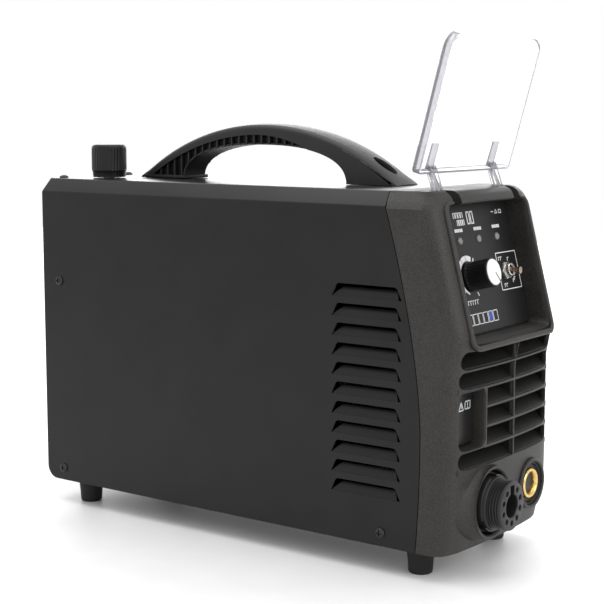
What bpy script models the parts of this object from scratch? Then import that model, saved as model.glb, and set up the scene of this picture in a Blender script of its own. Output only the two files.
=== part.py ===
"""Portable plasma cutter unit: sheet-metal case, moulded front, lid over the controls, air regulator on top.

Metres, +Z up, front towards -Y. The origin is under the middle of the unit, on the surface it stands on.
"""
import math

import bmesh
import bpy
from mathutils import Matrix, Vector

# ---------------------------------------------------------------- driving dimensions
CASE_WIDTH = 0.136
CASE_HEIGHT = 0.2345
BODY_LENGTH = 0.3704            # rear face of the case to the flat middle of the front
SHEET = 0.0012                  # cover, tray and rear panel steel
GAP = 0.0003                    # clearance between pieces that touch
TOP_CHAMFER = 0.010
REAR_CORNER_R = 0.010

FOOT_HEIGHT = 0.0185
FOOT_TOP_R = 0.0098
FOOT_BOTTOM_R = 0.0080
FOOT_INSET = 0.019              # foot axis from the side of the case
FRONT_FOOT_SETBACK = 0.0384     # foot axis from the flat middle of the front
REAR_FOOT_SETBACK = 0.028       # foot axis from the rear face

WALL = 0.003                    # moulded front wall
FRONT_CORNER_R = 0.011
FRONT_BOW = 0.004               # how far the front curves back at the sides
NOSE_RISE = 0.0045              # how far the nose under the controls stands forward
NOSE_DROP = 0.093               # nose below the top of the case
FACE_LEAN = math.radians(14.5)
FLANGE_DEPTH = 0.0035           # moulding lip that slides under the cover
SEAM_SETBACK = 0.0282           # foremost point of the cover's front edge, from the flat middle of the front
SEAM_TOP_SWEEP = 0.031
SEAM_FOOT_SWEEP = 0.003
SEAM_BULGE_HEIGHT = 0.0765

RECESS_MARGIN = 0.016           # side of the case to the inside of the control recess
RECESS_TOP_DROP = 0.009
RECESS_HEIGHT = 0.086
RECESS_DEPTH = 0.018            # lip to floor, along Y, at mid height
TUB_WALL = 0.0025
FASCIA_THICKNESS = 0.002

VENT_MARGIN = 0.008             # side of the case to the end of a front vent
VENT_PITCH = 0.01315
VENT_SLOT = 0.010
VENT_FLOOR = 0.057              # first front vent above the case's bottom edge
VENT_POST_X = 0.006
VENT_POST = 0.0026
POCKET_WIDTH = 0.031
POCKET_DEPTH = 0.012

TORCH_INSET = 0.041             # torch socket axis from the side of the case
EARTH_INSET = 0.035
SOCKET_HEIGHT = 0.0305          # socket axes above the case's bottom edge
TORCH_BARREL_R = 0.0165
TORCH_NUT_R = 0.020
TORCH_BORE_R = 0.0078
TORCH_PIN_RING_R = 0.0115
TORCH_PIN_HOLE_R = 0.0019
TORCH_PIN_HOLES = 9
TORCH_KEY_WIDTH = 0.0054
TORCH_KEY_REACH = 0.0138       # socket axis to the far side of the key slot
TORCH_REACH = 0.0173            # end of the socket in front of the flat middle of the front
NIPPLE_REACH = 0.0237           # end of the air nipple behind the rear face
EARTH_BORE_R = 0.0072
EARTH_RING_R = 0.0106
EARTH_DEPTH = 0.034
BOSS_RISE = 0.0035

LOUVRE_PITCH = 0.0132
LOUVRE_HEIGHT = 0.0085
LOUVRE_TOP_WIDTH = 0.0465
LOUVRE_FOOT_WIDTH = 0.0545
LOUVRE_REAR_SETBACK = 0.0938    # rear end of the louvres behind the flat middle of the front
LOUVRE_TOP_DROP = 0.0615        # first louvre below the top of the case
LOUVRE_FLOOR = 0.034            # lowest louvre above the case's bottom edge
LOUVRE_FLAP_DEPTH = 0.005

HANDLE_HALF_WIDTH = 0.014
HANDLE_REAR_SETBACK = 0.053     # rear end of the handle from the rear face
HANDLE_LENGTH = 0.6385 * BODY_LENGTH
HANDLE_RISE = 0.0420
HANDLE_FOOT_LENGTH = 0.043
HANDLE_GRIP = 0.0150            # depth of the grip at mid length
HANDLE_BASE = 0.0025

LID_MARGIN = 0.008              # side of the case to the side of the lid
LID_LENGTH = 0.093
LID_THICKNESS = 0.0025
LID_FLANGE = 0.004
LID_LEAN = math.radians(15.6)   # how far the open lid leans forward
LID_CORNER_R = 0.010
HINGE_SETBACK = 0.0304          # hinge axis behind the flat middle of the front
HINGE_DROP = 0.006              # hinge axis below the top of the case
HINGE_INSET = 0.028             # hinge arm from the side of the case
HINGE_PIN_R = 0.0015
ARM_WIDTH = 0.008
ARM_REACH = 0.0145              # hinge axis to the edge of the lid, along the lid
ARM_OFFSET = 0.0144             # hinge axis to the inner face of the lid

CURRENT_KNOB_R = 0.0099
CURRENT_KNOB_LENGTH = 0.0175
KNOB_X = -0.0170
TOGGLE_X = 0.0315
CONTROL_ROW = -0.0065           # knob and switch row, up the fascia from its middle
LED_ROW = 0.018
LED_PITCH = 0.025
LED_MIDDLE_X = 0.0050
LED_R = 0.0027
SHAFT_R = 0.003

REGULATOR_X = -0.032
REGULATOR_SETBACK = 0.037       # regulator axis from the rear face
REGULATOR_KNOB_R = 0.0135
REGULATOR_KNOB_HEIGHT = 0.025
REGULATOR_STEM_R = 0.009
REGULATOR_BODY = 0.038
BOWL_R = 0.017
BOWL_HEIGHT = 0.042
REGULATOR_HEIGHT = 0.044
GAUGE_R = 0.018

FAN_SIZE = 0.080
FAN_DEPTH = 0.025
FAN_BLADES = 7
GUARD_STANDOFF = 0.004
SCREW_HEAD_R = 0.0036
SCREW_HEAD_HEIGHT = 0.0022
SCREW_SHANK_R = 0.0019

# ---------------------------------------------------------------- places worked out from them
HALF = CASE_WIDTH / 2
BASE_Z = FOOT_HEIGHT
TOP_Z = BASE_Z + CASE_HEIGHT
FRONT_Y = TORCH_REACH - (TORCH_REACH + BODY_LENGTH + NIPPLE_REACH) / 2      # origin midway, socket to nipple
REAR_Y = FRONT_Y + BODY_LENGTH
SEAM_Y = FRONT_Y + SEAM_SETBACK
NOSE_Z = TOP_Z - NOSE_DROP
INSIDE = HALF - SHEET - GAP     # half width of what fits inside the cover
RECESS_HALF = HALF - RECESS_MARGIN
RECESS_TOP = TOP_Z - RECESS_TOP_DROP
RECESS_FOOT = RECESS_TOP - RECESS_HEIGHT
RECESS_MID = (RECESS_TOP + RECESS_FOOT) / 2
SOCKET_Z = BASE_Z + SOCKET_HEIGHT
TORCH_X = -(HALF - TORCH_INSET)
EARTH_X = HALF - EARTH_INSET
HINGE_Y = FRONT_Y + HINGE_SETBACK
HINGE_Z = TOP_Z - HINGE_DROP
HINGE_X = HALF - HINGE_INSET
REGULATOR_Y = REAR_Y - REGULATOR_SETBACK
FAN_Z = BASE_Z + SHEET + 0.009 + FAN_SIZE / 2
FAN_REAR_Y = REAR_Y - SHEET - GAP

for old in list(bpy.data.objects):
    bpy.data.objects.remove(old, do_unlink=True)


# ---------------------------------------------------------------- materials
def material(name, colour, roughness, metallic=0.0):
    made = bpy.data.materials.new(name)
    made.use_nodes = True
    shader = made.node_tree.nodes["Principled BSDF"]
    shader.inputs["Base Color"].default_value = (*colour, 1.0)
    shader.inputs["Roughness"].default_value = roughness
    shader.inputs["Metallic"].default_value = metallic
    return made


COVER_PAINT = material("black_satin_paint", (0.022, 0.022, 0.024), 0.35)
FRONT_PLASTIC = material("dark_grey_moulding", (0.045, 0.042, 0.040), 0.6)
BLACK_PLASTIC = material("black_plastic", (0.012, 0.012, 0.013), 0.4)
SOCKET_PLASTIC = material("socket_plastic", (0.05, 0.05, 0.052), 0.5)
PALE_CAP = material("pale_cap", (0.75, 0.74, 0.72), 0.4)
SMOKED_LID = material("smoked_clear_lid", (0.25, 0.23, 0.25), 0.1)
RUBBER = material("black_rubber", (0.02, 0.02, 0.02), 0.8)
STEEL = material("zinc_steel", (0.55, 0.55, 0.56), 0.35, 1.0)
BRASS = material("brass", (0.80, 0.60, 0.25), 0.25, 1.0)
ALUMINIUM = material("aluminium", (0.7, 0.7, 0.72), 0.4, 1.0)
COPPER = material("copper", (0.75, 0.36, 0.20), 0.35, 1.0)
BOARD_GREEN = material("circuit_board", (0.03, 0.12, 0.05), 0.5)
LED_LENS = material("led_lens", (0.45, 0.47, 0.45), 0.3)
CLEAR_BOWL = material("clear_bowl", (0.7, 0.75, 0.8), 0.1)
HOSE_BLUE = material("air_hose_blue", (0.05, 0.12, 0.35), 0.5)
LABEL = material("label_film", (0.03, 0.03, 0.032), 0.5)


# ---------------------------------------------------------------- modelling helpers
def keep(name, mesh_data, paint=None, parent=None, origin=None):
    """Turn a bmesh into a named object, with its faces outwards, round parts smooth and its origin as asked."""
    bmesh.ops.remove_doubles(mesh_data, verts=mesh_data.verts, dist=1e-7)
    bmesh.ops.recalc_face_normals(mesh_data, faces=mesh_data.faces)
    if origin is not None:
        bmesh.ops.translate(mesh_data, verts=mesh_data.verts, vec=-Vector(origin))
    mesh = bpy.data.meshes.new(name)
    mesh_data.to_mesh(mesh)
    mesh_data.free()
    mesh.shade_smooth()
    mesh.set_sharp_from_angle(angle=math.radians(35))
    made = bpy.data.objects.new(name, mesh)
    bpy.context.scene.collection.objects.link(made)
    if paint is not None:
        mesh.materials.append(paint)
    if origin is not None:
        made.location = origin
    if parent is not None:
        made.parent = parent
    return made


def empty(name, location, turn=0.0):
    """A guide whose X stays level and whose other axes are turned about X."""
    made = bpy.data.objects.new(name, None)
    made.location = location
    made.rotation_euler = (turn, 0.0, 0.0)
    bpy.context.scene.collection.objects.link(made)
    return made


def box_mesh(low, high):
    made = bmesh.new()
    bmesh.ops.create_cube(made, size=1.0)
    centre = (Vector(low) + Vector(high)) / 2
    size = Vector(high) - Vector(low)
    bmesh.ops.scale(made, vec=size, verts=made.verts)
    bmesh.ops.translate(made, vec=centre, verts=made.verts)
    return made


def box(name, low, high, paint=None, parent=None, origin=None):
    return keep(name, box_mesh(low, high), paint, parent, origin)


def turned(name, base, direction, profile, paint=None, steps=24, parent=None, origin=None, ring=False):
    """Turn a profile of (radius, distance along the axis) about the axis; ring closes it on itself."""
    made = bmesh.new()
    frame = Vector(direction).normalized().to_track_quat("Z", "Y").to_matrix().to_4x4()
    frame.translation = Vector(base)
    rows = []
    for radius, along in profile:
        if radius == 0:
            rows.append([made.verts.new(frame @ Vector((0, 0, along)))])
            continue
        row = []
        for step in range(steps):
            angle = 2 * math.pi * step / steps
            row.append(made.verts.new(frame @ Vector((radius * math.cos(angle), radius * math.sin(angle),
                                                      along))))
        rows.append(row)
    pairs = list(zip(rows, rows[1:]))
    if ring:
        pairs.append((rows[-1], rows[0]))
    for first, second in pairs:
        for step in range(steps):
            after = (step + 1) % steps
            corners = [first[step % len(first)], first[after % len(first)],
                       second[after % len(second)], second[step % len(second)]]
            corners = list(dict.fromkeys(corners))
            if len(corners) > 2:
                made.faces.new(corners)
    return keep(name, made, paint, parent, origin)


def rod(name, start, end, radius, paint=None, steps=24, parent=None, origin=None):
    length = (Vector(end) - Vector(start)).length
    direction = Vector(end) - Vector(start)
    return turned(name, start, direction, [(0, 0), (radius, 0), (radius, length), (0, length)],
                  paint, steps, parent, origin)


def prism(name, outline, axis, low, high, paint=None, parent=None, origin=None):
    """Extrude a closed outline along X (y, z points), Y (x, z points) or Z (x, y points)."""
    place = {
        "X": lambda a, b, along: (along, a, b),
        "Y": lambda a, b, along: (a, along, b),
        "Z": lambda a, b, along: (a, b, along),
    }[axis]
    made = bmesh.new()
    near = [made.verts.new(place(a, b, low)) for a, b in outline]
    far = [made.verts.new(place(a, b, high)) for a, b in outline]
    made.faces.new(near)
    made.faces.new(far)
    for index in range(len(outline)):
        after = (index + 1) % len(outline)
        made.faces.new([near[index], near[after], far[after], far[index]])
    return keep(name, made, paint, parent, origin)


def arc(centre, radius, start, end, steps):
    """Points on an arc, with angles in degrees."""
    points = []
    for step in range(steps + 1):
        angle = math.radians(start + (end - start) * step / steps)
        points.append((centre[0] + radius * math.cos(angle), centre[1] + radius * math.sin(angle)))
    return points


def rounded(points, steps=4):
    """An open line through (a, b, corner radius) points, with each inner corner replaced by an arc."""
    line = [tuple(points[0][:2])]
    for before, corner, after in zip(points, points[1:], points[2:]):
        here = Vector(corner[:2])
        back = (Vector(before[:2]) - here).normalized()
        ahead = (Vector(after[:2]) - here).normalized()
        turn = math.pi - back.angle(ahead)
        cut = corner[2] * math.tan(turn / 2)
        centre = here + (back + ahead).normalized() * corner[2] / math.cos(turn / 2)
        first = here + back * cut - centre
        last = here + ahead * cut - centre
        for step in range(steps + 1):
            share = step / steps
            spoke = first.normalized().slerp(last.normalized(), share) * corner[2]
            line.append(tuple(centre + spoke))
    line.append(tuple(points[-1][:2]))
    return line


def guide(piece):
    """Mark a cutter or a joined shape, which is not a piece of the unit."""
    piece.hide_render = True
    piece.display_type = "WIRE"
    return piece


def combine(target, others, operation):
    for other in others:
        guide(other)
        step = target.modifiers.new(other.name, "BOOLEAN")
        step.operation = operation
        step.object = other


def cut(target, *cutters):
    combine(target, cutters, "DIFFERENCE")


def join(target, *others):
    combine(target, others, "UNION")


# ---------------------------------------------------------------- shared shapes
def case_section(inset, foot_z):
    """Half-round case section: straight sides, chamfered top, open to the ground. Points are (x, z)."""
    diagonal = HALF + TOP_Z - TOP_CHAMFER - inset * math.sqrt(2)
    side = HALF - inset
    top = TOP_Z - inset
    return [(-side, foot_z), (-side, diagonal - side), (-(diagonal - top), top),
            (diagonal - top, top), (side, diagonal - side), (side, foot_z)]


SEAM_STEPS = 16
SEAM_LEVELS = [BASE_Z + CASE_HEIGHT * step / SEAM_STEPS for step in range(SEAM_STEPS + 1)]


def seam_curve(z):
    """Front edge of the cover: it bulges forward low down and sweeps back towards the top."""
    bulge_z = BASE_Z + SEAM_BULGE_HEIGHT
    if z > bulge_z:
        return SEAM_Y + SEAM_TOP_SWEEP * ((z - bulge_z) / (TOP_Z - bulge_z)) ** 1.6
    return SEAM_Y + SEAM_FOOT_SWEEP * ((bulge_z - z) / (bulge_z - BASE_Z)) ** 2


def seam_y(z):
    """The same edge as straight steps between shared levels, so the cover and the moulding meet along it."""
    place = min(max((z - BASE_Z) / CASE_HEIGHT, 0), 1) * SEAM_STEPS
    index = min(int(place), SEAM_STEPS - 1)
    low, high = SEAM_LEVELS[index], SEAM_LEVELS[index + 1]
    return seam_curve(low) + (seam_curve(high) - seam_curve(low)) * (place - index)


def lip_y(z):
    """The leaning face around the controls, at the middle of the unit."""
    return FRONT_Y - NOSE_RISE + (z - NOSE_Z) * math.tan(FACE_LEAN)


def front_profile():
    """Side view of the front, as (y, z) from the bottom edge over the nose to the top."""
    return rounded([
        (FRONT_Y + 0.007, BASE_Z, 0),
        (FRONT_Y, BASE_Z + 0.032, 0.060),
        (FRONT_Y, NOSE_Z - 0.024, 0.012),
        (lip_y(NOSE_Z), NOSE_Z, 0.012),
        (lip_y(TOP_Z), TOP_Z, 0.0075),
        (lip_y(TOP_Z) + 0.012, TOP_Z, 0),
    ])[:-1]


def profile_between(low, high):
    """The front profile cut to a band of heights, as (y, z)."""
    line = front_profile()

    def at(z):
        for (y_low, z_low), (y_high, z_high) in zip(line, line[1:]):
            if z <= z_high:
                return y_low + (y_high - y_low) * (z - z_low) / (z_high - z_low)
        return line[-1][0]

    levels = [z for z in SEAM_LEVELS if low + 0.0005 < z < high - 0.0005]
    between = [z for _, z in line if low + 0.0005 < z < high - 0.0005]
    between = [z for z in between if all(abs(z - level) > 0.0004 for level in levels)]
    return [(at(z), z) for z in sorted([low, high] + levels + between)]


def front_outline(y_front, half, corner, rear):
    """Plan view at one height: straight sides, rounded corners and a bowed front. Points are (x, y)."""
    points = [(-half, rear)]
    flat = half - corner
    corner_y = y_front + FRONT_BOW + corner
    points += arc((-flat, corner_y), corner, 180, 255, 5)
    bow_steps = 8
    for step in range(1, bow_steps):
        x = flat * (2 * step / bow_steps - 1)
        points.append((x, y_front + FRONT_BOW * (x / half) ** 2))
    points += arc((flat, corner_y), corner, 285, 360, 5)
    points.append((half, rear))
    return points


def front_solid(name, inset, rear_of, height_inset=None):
    """Loft the front's outlines up its profile, moved in by inset, with its rear end at rear_of(z)."""
    height_inset = inset if height_inset is None else height_inset
    made = bmesh.new()
    rows = []
    low, high = BASE_Z + height_inset, TOP_Z - inset
    for y_front, z in profile_between(low, high):
        half = min(HALF - inset, HALF + TOP_Z - TOP_CHAMFER - inset * math.sqrt(2) - z)
        corner = max(FRONT_CORNER_R - inset, 0.002)
        outline = front_outline(y_front + inset, half, corner, rear_of(z))
        rows.append([made.verts.new((x, y, z)) for x, y in outline])
    for lower, upper in zip(rows, rows[1:]):
        for index in range(len(lower)):
            after = (index + 1) % len(lower)
            made.faces.new([lower[index], lower[after], upper[after], upper[index]])
    made.faces.new(rows[0])
    made.faces.new(rows[-1])
    bmesh.ops.dissolve_degenerate(made, dist=1e-6, edges=made.edges)
    return keep(name, made)


def side_holes(name, radius, spots):
    """Cutters that run across the case at each (y, z) screw place."""
    return [rod(f"{name}_{index}", (-HALF - 0.01, y, z), (HALF + 0.01, y, z), radius, steps=12)
            for index, (y, z) in enumerate(spots)]


SIDE_SCREWS = [(REAR_Y - 0.017, TOP_Z - 0.078), (REAR_Y - 0.0175, BASE_Z + 0.0095),
               (SEAM_Y + 0.0300, BASE_Z + 0.0090)]
TOP_SCREWS = [(0.020, REAR_Y - 0.008), (-0.052, REAR_Y - 0.008)]
VENT_ROWS = int((RECESS_FOOT - TUB_WALL - BASE_Z - VENT_FLOOR) / VENT_PITCH + 0.3)

# ---------------------------------------------------------------- case: cover, tray and rear panel
def gather(name, pieces):
    """Put several guide shapes into one guide."""
    made = bmesh.new()
    for piece in pieces:
        made.from_mesh(piece.data)
        bpy.data.objects.remove(piece, do_unlink=True)
    return guide(keep(name, made))


def louvre_heights():
    """Top edge of each side louvre."""
    first = TOP_Z - LOUVRE_TOP_DROP
    count = int((first - BASE_Z - LOUVRE_FLOOR) / LOUVRE_PITCH) + 1
    return [first - LOUVRE_PITCH * index for index in range(count)]


def cover_shell():
    outer = case_section(0, BASE_Z)
    inner = case_section(SHEET, BASE_Z)
    cover = prism("cover_shell", outer + inner[::-1], "Y", SEAM_Y - 0.004, REAR_Y, COVER_PAINT)
    edge = [(seam_y(z) + GAP, z) for z in [BASE_Z - 0.01] + SEAM_LEVELS + [TOP_Z + 0.01]]
    front = guide(prism("cover_front_trim", edge + [(SEAM_Y - 0.02, TOP_Z + 0.01), (SEAM_Y - 0.02,
                                                                                    BASE_Z - 0.01)],
                        "X", -HALF - 0.01, HALF + 0.01))
    corner = arc((REAR_Y - REAR_CORNER_R, BASE_Z + REAR_CORNER_R), REAR_CORNER_R, 0, -90, 6)
    rear = guide(prism("cover_corner_trim",
                       [(REAR_Y + 0.002, BASE_Z - 0.002), (REAR_Y + 0.002, BASE_Z + REAR_CORNER_R)] + corner
                       + [(REAR_Y - REAR_CORNER_R, BASE_Z - 0.002)], "X", -HALF - 0.01, HALF + 0.01))
    middle = FRONT_Y + LOUVRE_REAR_SETBACK - LOUVRE_TOP_WIDTH / 2
    slots, flaps = [], []
    for index, top in enumerate(louvre_heights()):
        foot = top - LOUVRE_HEIGHT
        shape = [(middle - LOUVRE_TOP_WIDTH / 2, top), (middle + LOUVRE_TOP_WIDTH / 2, top),
                 (middle + LOUVRE_FOOT_WIDTH / 2, foot), (middle - LOUVRE_FOOT_WIDTH / 2, foot)]
        slots.append(prism(f"slot_{index}", shape, "X", -HALF - 0.01, HALF + 0.01))
        for side in (-1, 1):
            root = side * (HALF - SHEET / 3)
            tip = side * (HALF - SHEET / 3 - LOUVRE_FLAP_DEPTH)
            low = foot - 1.4 * SHEET
            section = [(root, low), (tip, low + LOUVRE_HEIGHT * 0.7),
                       (tip, low + LOUVRE_HEIGHT * 0.7 + SHEET),
                       (root, low + SHEET)]
            flaps.append(prism(f"flap_{index}_{side}", section, "Y", middle - LOUVRE_FOOT_WIDTH / 2 + 0.003,
                               middle + LOUVRE_FOOT_WIDTH / 2 - 0.001))
    cut(cover, front, rear, gather("louvre_slots", slots))
    join(cover, gather("louvre_flaps", flaps))
    cut(cover, gather("cover_side_holes", side_holes("cover_hole", SCREW_SHANK_R + GAP, SIDE_SCREWS)))
    top_holes = [rod(f"top_hole_{index}", (x, y, TOP_Z - 0.01), (x, y, TOP_Z + 0.01), SCREW_SHANK_R + GAP,
                     steps=12)
                 for index, (x, y) in enumerate(TOP_SCREWS)]
    top_holes.append(rod("stem_hole", (REGULATOR_X, REGULATOR_Y, TOP_Z - 0.01),
                         (REGULATOR_X, REGULATOR_Y, TOP_Z + 0.01), REGULATOR_STEM_R + GAP))
    for index, y in enumerate(HANDLE_SCREW_Y):
        top_holes.append(rod(f"handle_hole_{index}", (0, y, TOP_Z - 0.01), (0, y, TOP_Z + 0.01),
                             HANDLE_SCREW_R + GAP, steps=12))
    cut(cover, gather("cover_top_holes", top_holes))
    return cover


HANDLE_REAR = REAR_Y - HANDLE_REAR_SETBACK
HANDLE_FRONT = HANDLE_REAR - HANDLE_LENGTH
HANDLE_SCREW_R = 0.0025
HANDLE_SCREW_Y = (HANDLE_REAR - HANDLE_FOOT_LENGTH * 0.45, HANDLE_FRONT + HANDLE_FOOT_LENGTH * 0.45)

TRAY_FLANGE = 0.020
TONGUE_HALF = HALF - 0.008
TONGUE_FRONT = FRONT_Y + 0.0254
REAR_FLANGE = 0.025
TOP_FLANGE = 0.014
PANEL_FLOOR = BASE_Z + REAR_CORNER_R


def base_tray():
    front = seam_y(BASE_Z) + FLANGE_DEPTH + 2 * GAP
    section = [(-INSIDE, BASE_Z), (INSIDE, BASE_Z), (INSIDE, BASE_Z + TRAY_FLANGE),
               (INSIDE - SHEET, BASE_Z + TRAY_FLANGE), (INSIDE - SHEET, BASE_Z + SHEET),
               (-INSIDE + SHEET, BASE_Z + SHEET), (-INSIDE + SHEET, BASE_Z + TRAY_FLANGE),
               (-INSIDE, BASE_Z + TRAY_FLANGE)]
    tray = prism("base_tray", section, "Y", front, REAR_Y - REAR_CORNER_R - GAP, STEEL)
    tongue = box("tray_tongue", (-TONGUE_HALF, TONGUE_FRONT, BASE_Z),
                 (TONGUE_HALF, front + 0.005, BASE_Z + SHEET))
    join(tray, tongue)
    rear_end = guide(box("tray_rear_trim", (-HALF, REAR_Y - REAR_FLANGE - GAP, BASE_Z + SHEET),
                         (HALF, REAR_Y + 0.01, BASE_Z + TRAY_FLANGE + 0.01)))
    cut(tray, rear_end, gather("tray_side_holes", side_holes("tray_hole", SCREW_SHANK_R + GAP, SIDE_SCREWS)))
    return tray


def rear_panel():
    bend = (REAR_Y - REAR_CORNER_R, BASE_Z + REAR_CORNER_R)
    outline = [(REAR_Y - SHEET, TOP_Z), (REAR_Y, TOP_Z)] + arc(bend, REAR_CORNER_R, 0, -90, 6)
    outline += arc(bend, REAR_CORNER_R - SHEET, -90, 0, 6)
    panel = prism("rear_panel", outline, "X", -INSIDE, INSIDE, COVER_PAINT)
    section = case_section(SHEET + GAP, BASE_Z - 0.001)
    combine(panel, [prism("panel_outline", section, "Y", REAR_Y - 0.05, REAR_Y + 0.01)], "INTERSECT")
    flange_top = TOP_Z - TOP_CHAMFER - 0.003
    for side in (-1, 1):
        across = sorted((side * (INSIDE - GAP), side * (INSIDE - GAP - SHEET)))
        join(panel, box(f"panel_flange_{side}", (across[0], REAR_Y - REAR_FLANGE, PANEL_FLOOR + 0.002),
                        (across[1], REAR_Y - SHEET / 2, flange_top)))
    roof = TOP_Z - SHEET - 2 * GAP
    join(panel, box("panel_top_flange", (-INSIDE + TOP_CHAMFER, REAR_Y - TOP_FLANGE, roof - SHEET),
                    (INSIDE - TOP_CHAMFER, REAR_Y - SHEET / 2, roof)))
    through = (REAR_Y - 0.01, REAR_Y + 0.01)
    holes = [rod("fan_opening", (0, through[0], FAN_Z), (0, through[1], FAN_Z), FAN_SIZE / 2 - 0.002,
                 steps=36),
             rod("gauge_opening", (REGULATOR_X, through[0], GAUGE_Z), (REGULATOR_X, through[1], GAUGE_Z),
                 GAUGE_R + GAP, steps=28),
             rod("inlet_opening", (INLET_X, through[0], GAUGE_Z), (INLET_X, through[1], GAUGE_Z),
                 INLET_R + GAP),
             rod("gland_opening", (SWITCH_X, through[0], GLAND_Z), (SWITCH_X, through[1], GLAND_Z),
                 GLAND_R + GAP),
             box("switch_opening", (SWITCH_X - SWITCH_WIDTH / 2 - GAP, through[0],
                                    SWITCH_Z - SWITCH_HEIGHT / 2 - GAP),
                 (SWITCH_X + SWITCH_WIDTH / 2 + GAP, through[1], SWITCH_Z + SWITCH_HEIGHT / 2 + GAP))]
    holes += [rod(f"panel_top_hole_{index}", (x, y, roof - 0.01), (x, y, roof + 0.01), SCREW_SHANK_R + GAP,
                  steps=12)
              for index, (x, y) in enumerate(TOP_SCREWS)]
    cut(panel, gather("panel_openings", holes),
        gather("panel_side_holes", side_holes("panel_hole", SCREW_SHANK_R + GAP, SIDE_SCREWS)))
    return panel


INLET_X = REGULATOR_X + 0.044
INLET_R = 0.0052
GAUGE_Z = TOP_Z - SHEET - 2 * GAP - REGULATOR_HEIGHT / 2
GLAND_R = 0.008
SWITCH_X = 0.044
SWITCH_WIDTH = 0.022
SWITCH_HEIGHT = 0.030
SWITCH_Z = TOP_Z - 0.060
GLAND_Z = SWITCH_Z - 0.040

cover_shell()
base_tray()
rear_panel()


def screw(name, seat, direction, head_r=SCREW_HEAD_R, shank_r=SCREW_SHANK_R, length=0.007):
    """Pan-head screw: the head stands on seat, and the shank runs the other way."""
    rise = SCREW_HEAD_HEIGHT
    slot = 0.0012
    profile = [(0, -length), (shank_r, -length), (shank_r, GAP), (head_r, GAP), (head_r, rise * 0.55),
               (head_r * 0.75, rise), (slot, rise), (slot, rise - 0.0008), (0, rise - 0.0008)]
    return turned(name, seat, direction, profile, STEEL, steps=12)


for number, (screw_y, screw_z) in enumerate(SIDE_SCREWS):
    screw(f"side_screw_left_{number + 1}", (-HALF, screw_y, screw_z), (-1, 0, 0))
    screw(f"side_screw_right_{number + 1}", (HALF, screw_y, screw_z), (1, 0, 0))
for number, (screw_x, screw_y) in enumerate(TOP_SCREWS):
    screw(f"top_screw_{number + 1}", (screw_x, screw_y, TOP_Z), (0, 0, 1))

for foot_y, end in ((FRONT_Y + FRONT_FOOT_SETBACK, "front"), (REAR_Y - REAR_FOOT_SETBACK, "rear")):
    for side_x, side in ((-(HALF - FOOT_INSET), "left"), (HALF - FOOT_INSET, "right")):
        turned(f"foot_{end}_{side}", (side_x, foot_y, 0), (0, 0, 1),
               [(0, 0), (FOOT_BOTTOM_R - 0.001, 0), (FOOT_BOTTOM_R, 0.001), (FOOT_TOP_R, FOOT_HEIGHT - GAP),
                (0, FOOT_HEIGHT - GAP)], RUBBER, steps=20)


# ---------------------------------------------------------------- moulded front
POCKET_ROWS = range(1, min(4, VENT_ROWS))
VENT_HALF = HALF - VENT_MARGIN
POCKET_FOOT = BASE_Z + VENT_FLOOR + VENT_PITCH * POCKET_ROWS[0] - 0.0008
POCKET_TOP = BASE_Z + VENT_FLOOR + VENT_PITCH * POCKET_ROWS[-1] + VENT_SLOT + 0.0008
TORCH_FACE_Y = FRONT_Y + 0.0047
SOCKET_BACKING = 0.005
EARTH_FACE_Y = FRONT_Y + 0.0049
EARTH_POCKET_R = 0.015
EARTH_BODY_R = 0.012
NOTCH_WIDTH = ARM_WIDTH + 0.0015
HINGE_CHEEK = 0.0030
FASCIA_PLANE = empty("fascia_plane", (0, lip_y(RECESS_MID) + FRONT_BOW * 0.6 + RECESS_DEPTH, RECESS_MID),
                     math.pi / 2 - FACE_LEAN)
FLOOR_Y = FASCIA_PLANE.location.y


def tub(name, wall, reach):
    """The control recess as a solid: a leaning floor, and level walls that run out to the front."""
    slope = math.tan(FACE_LEAN)
    foot, top = RECESS_FOOT - wall, RECESS_TOP + wall
    back = FLOOR_Y + wall / math.cos(FACE_LEAN)
    outline = [(back + (foot - RECESS_MID) * slope, foot), (back + (top - RECESS_MID) * slope, top),
               (FRONT_Y - reach, top), (FRONT_Y - reach, foot)]
    return prism(name, outline, "X", -RECESS_HALF - wall, RECESS_HALF + wall)


def vent_slots():
    slots = []
    reach = (FRONT_Y - 0.01, FRONT_Y + 0.030)
    for row in range(VENT_ROWS):
        foot = BASE_Z + VENT_FLOOR + VENT_PITCH * row
        left = -VENT_HALF + POCKET_WIDTH if row in POCKET_ROWS else -VENT_HALF
        spans = [(left, VENT_POST_X - VENT_POST / 2), (VENT_POST_X + VENT_POST / 2, VENT_HALF)]
        for part, (start, end) in enumerate(spans):
            radius = VENT_SLOT * 0.45
            ends = {0: start == -VENT_HALF, 1: part == 1}
            outline = []
            if ends[0]:
                outline += arc((start + radius, foot + radius), radius, 270, 180, 3)
                outline += arc((start + radius, foot + VENT_SLOT - radius), radius, 180, 90, 3)
            else:
                outline += [(start, foot), (start, foot + VENT_SLOT)]
            if ends[1]:
                outline += arc((end - radius, foot + VENT_SLOT - radius), radius, 90, 0, 3)
                outline += arc((end - radius, foot + radius), radius, 0, -90, 3)
            else:
                outline += [(end, foot + VENT_SLOT), (end, foot)]
            slots.append(prism(f"vent_{row}_{part}", outline, "Y", *reach))
    return gather("front_vent_slots", slots)


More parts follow.
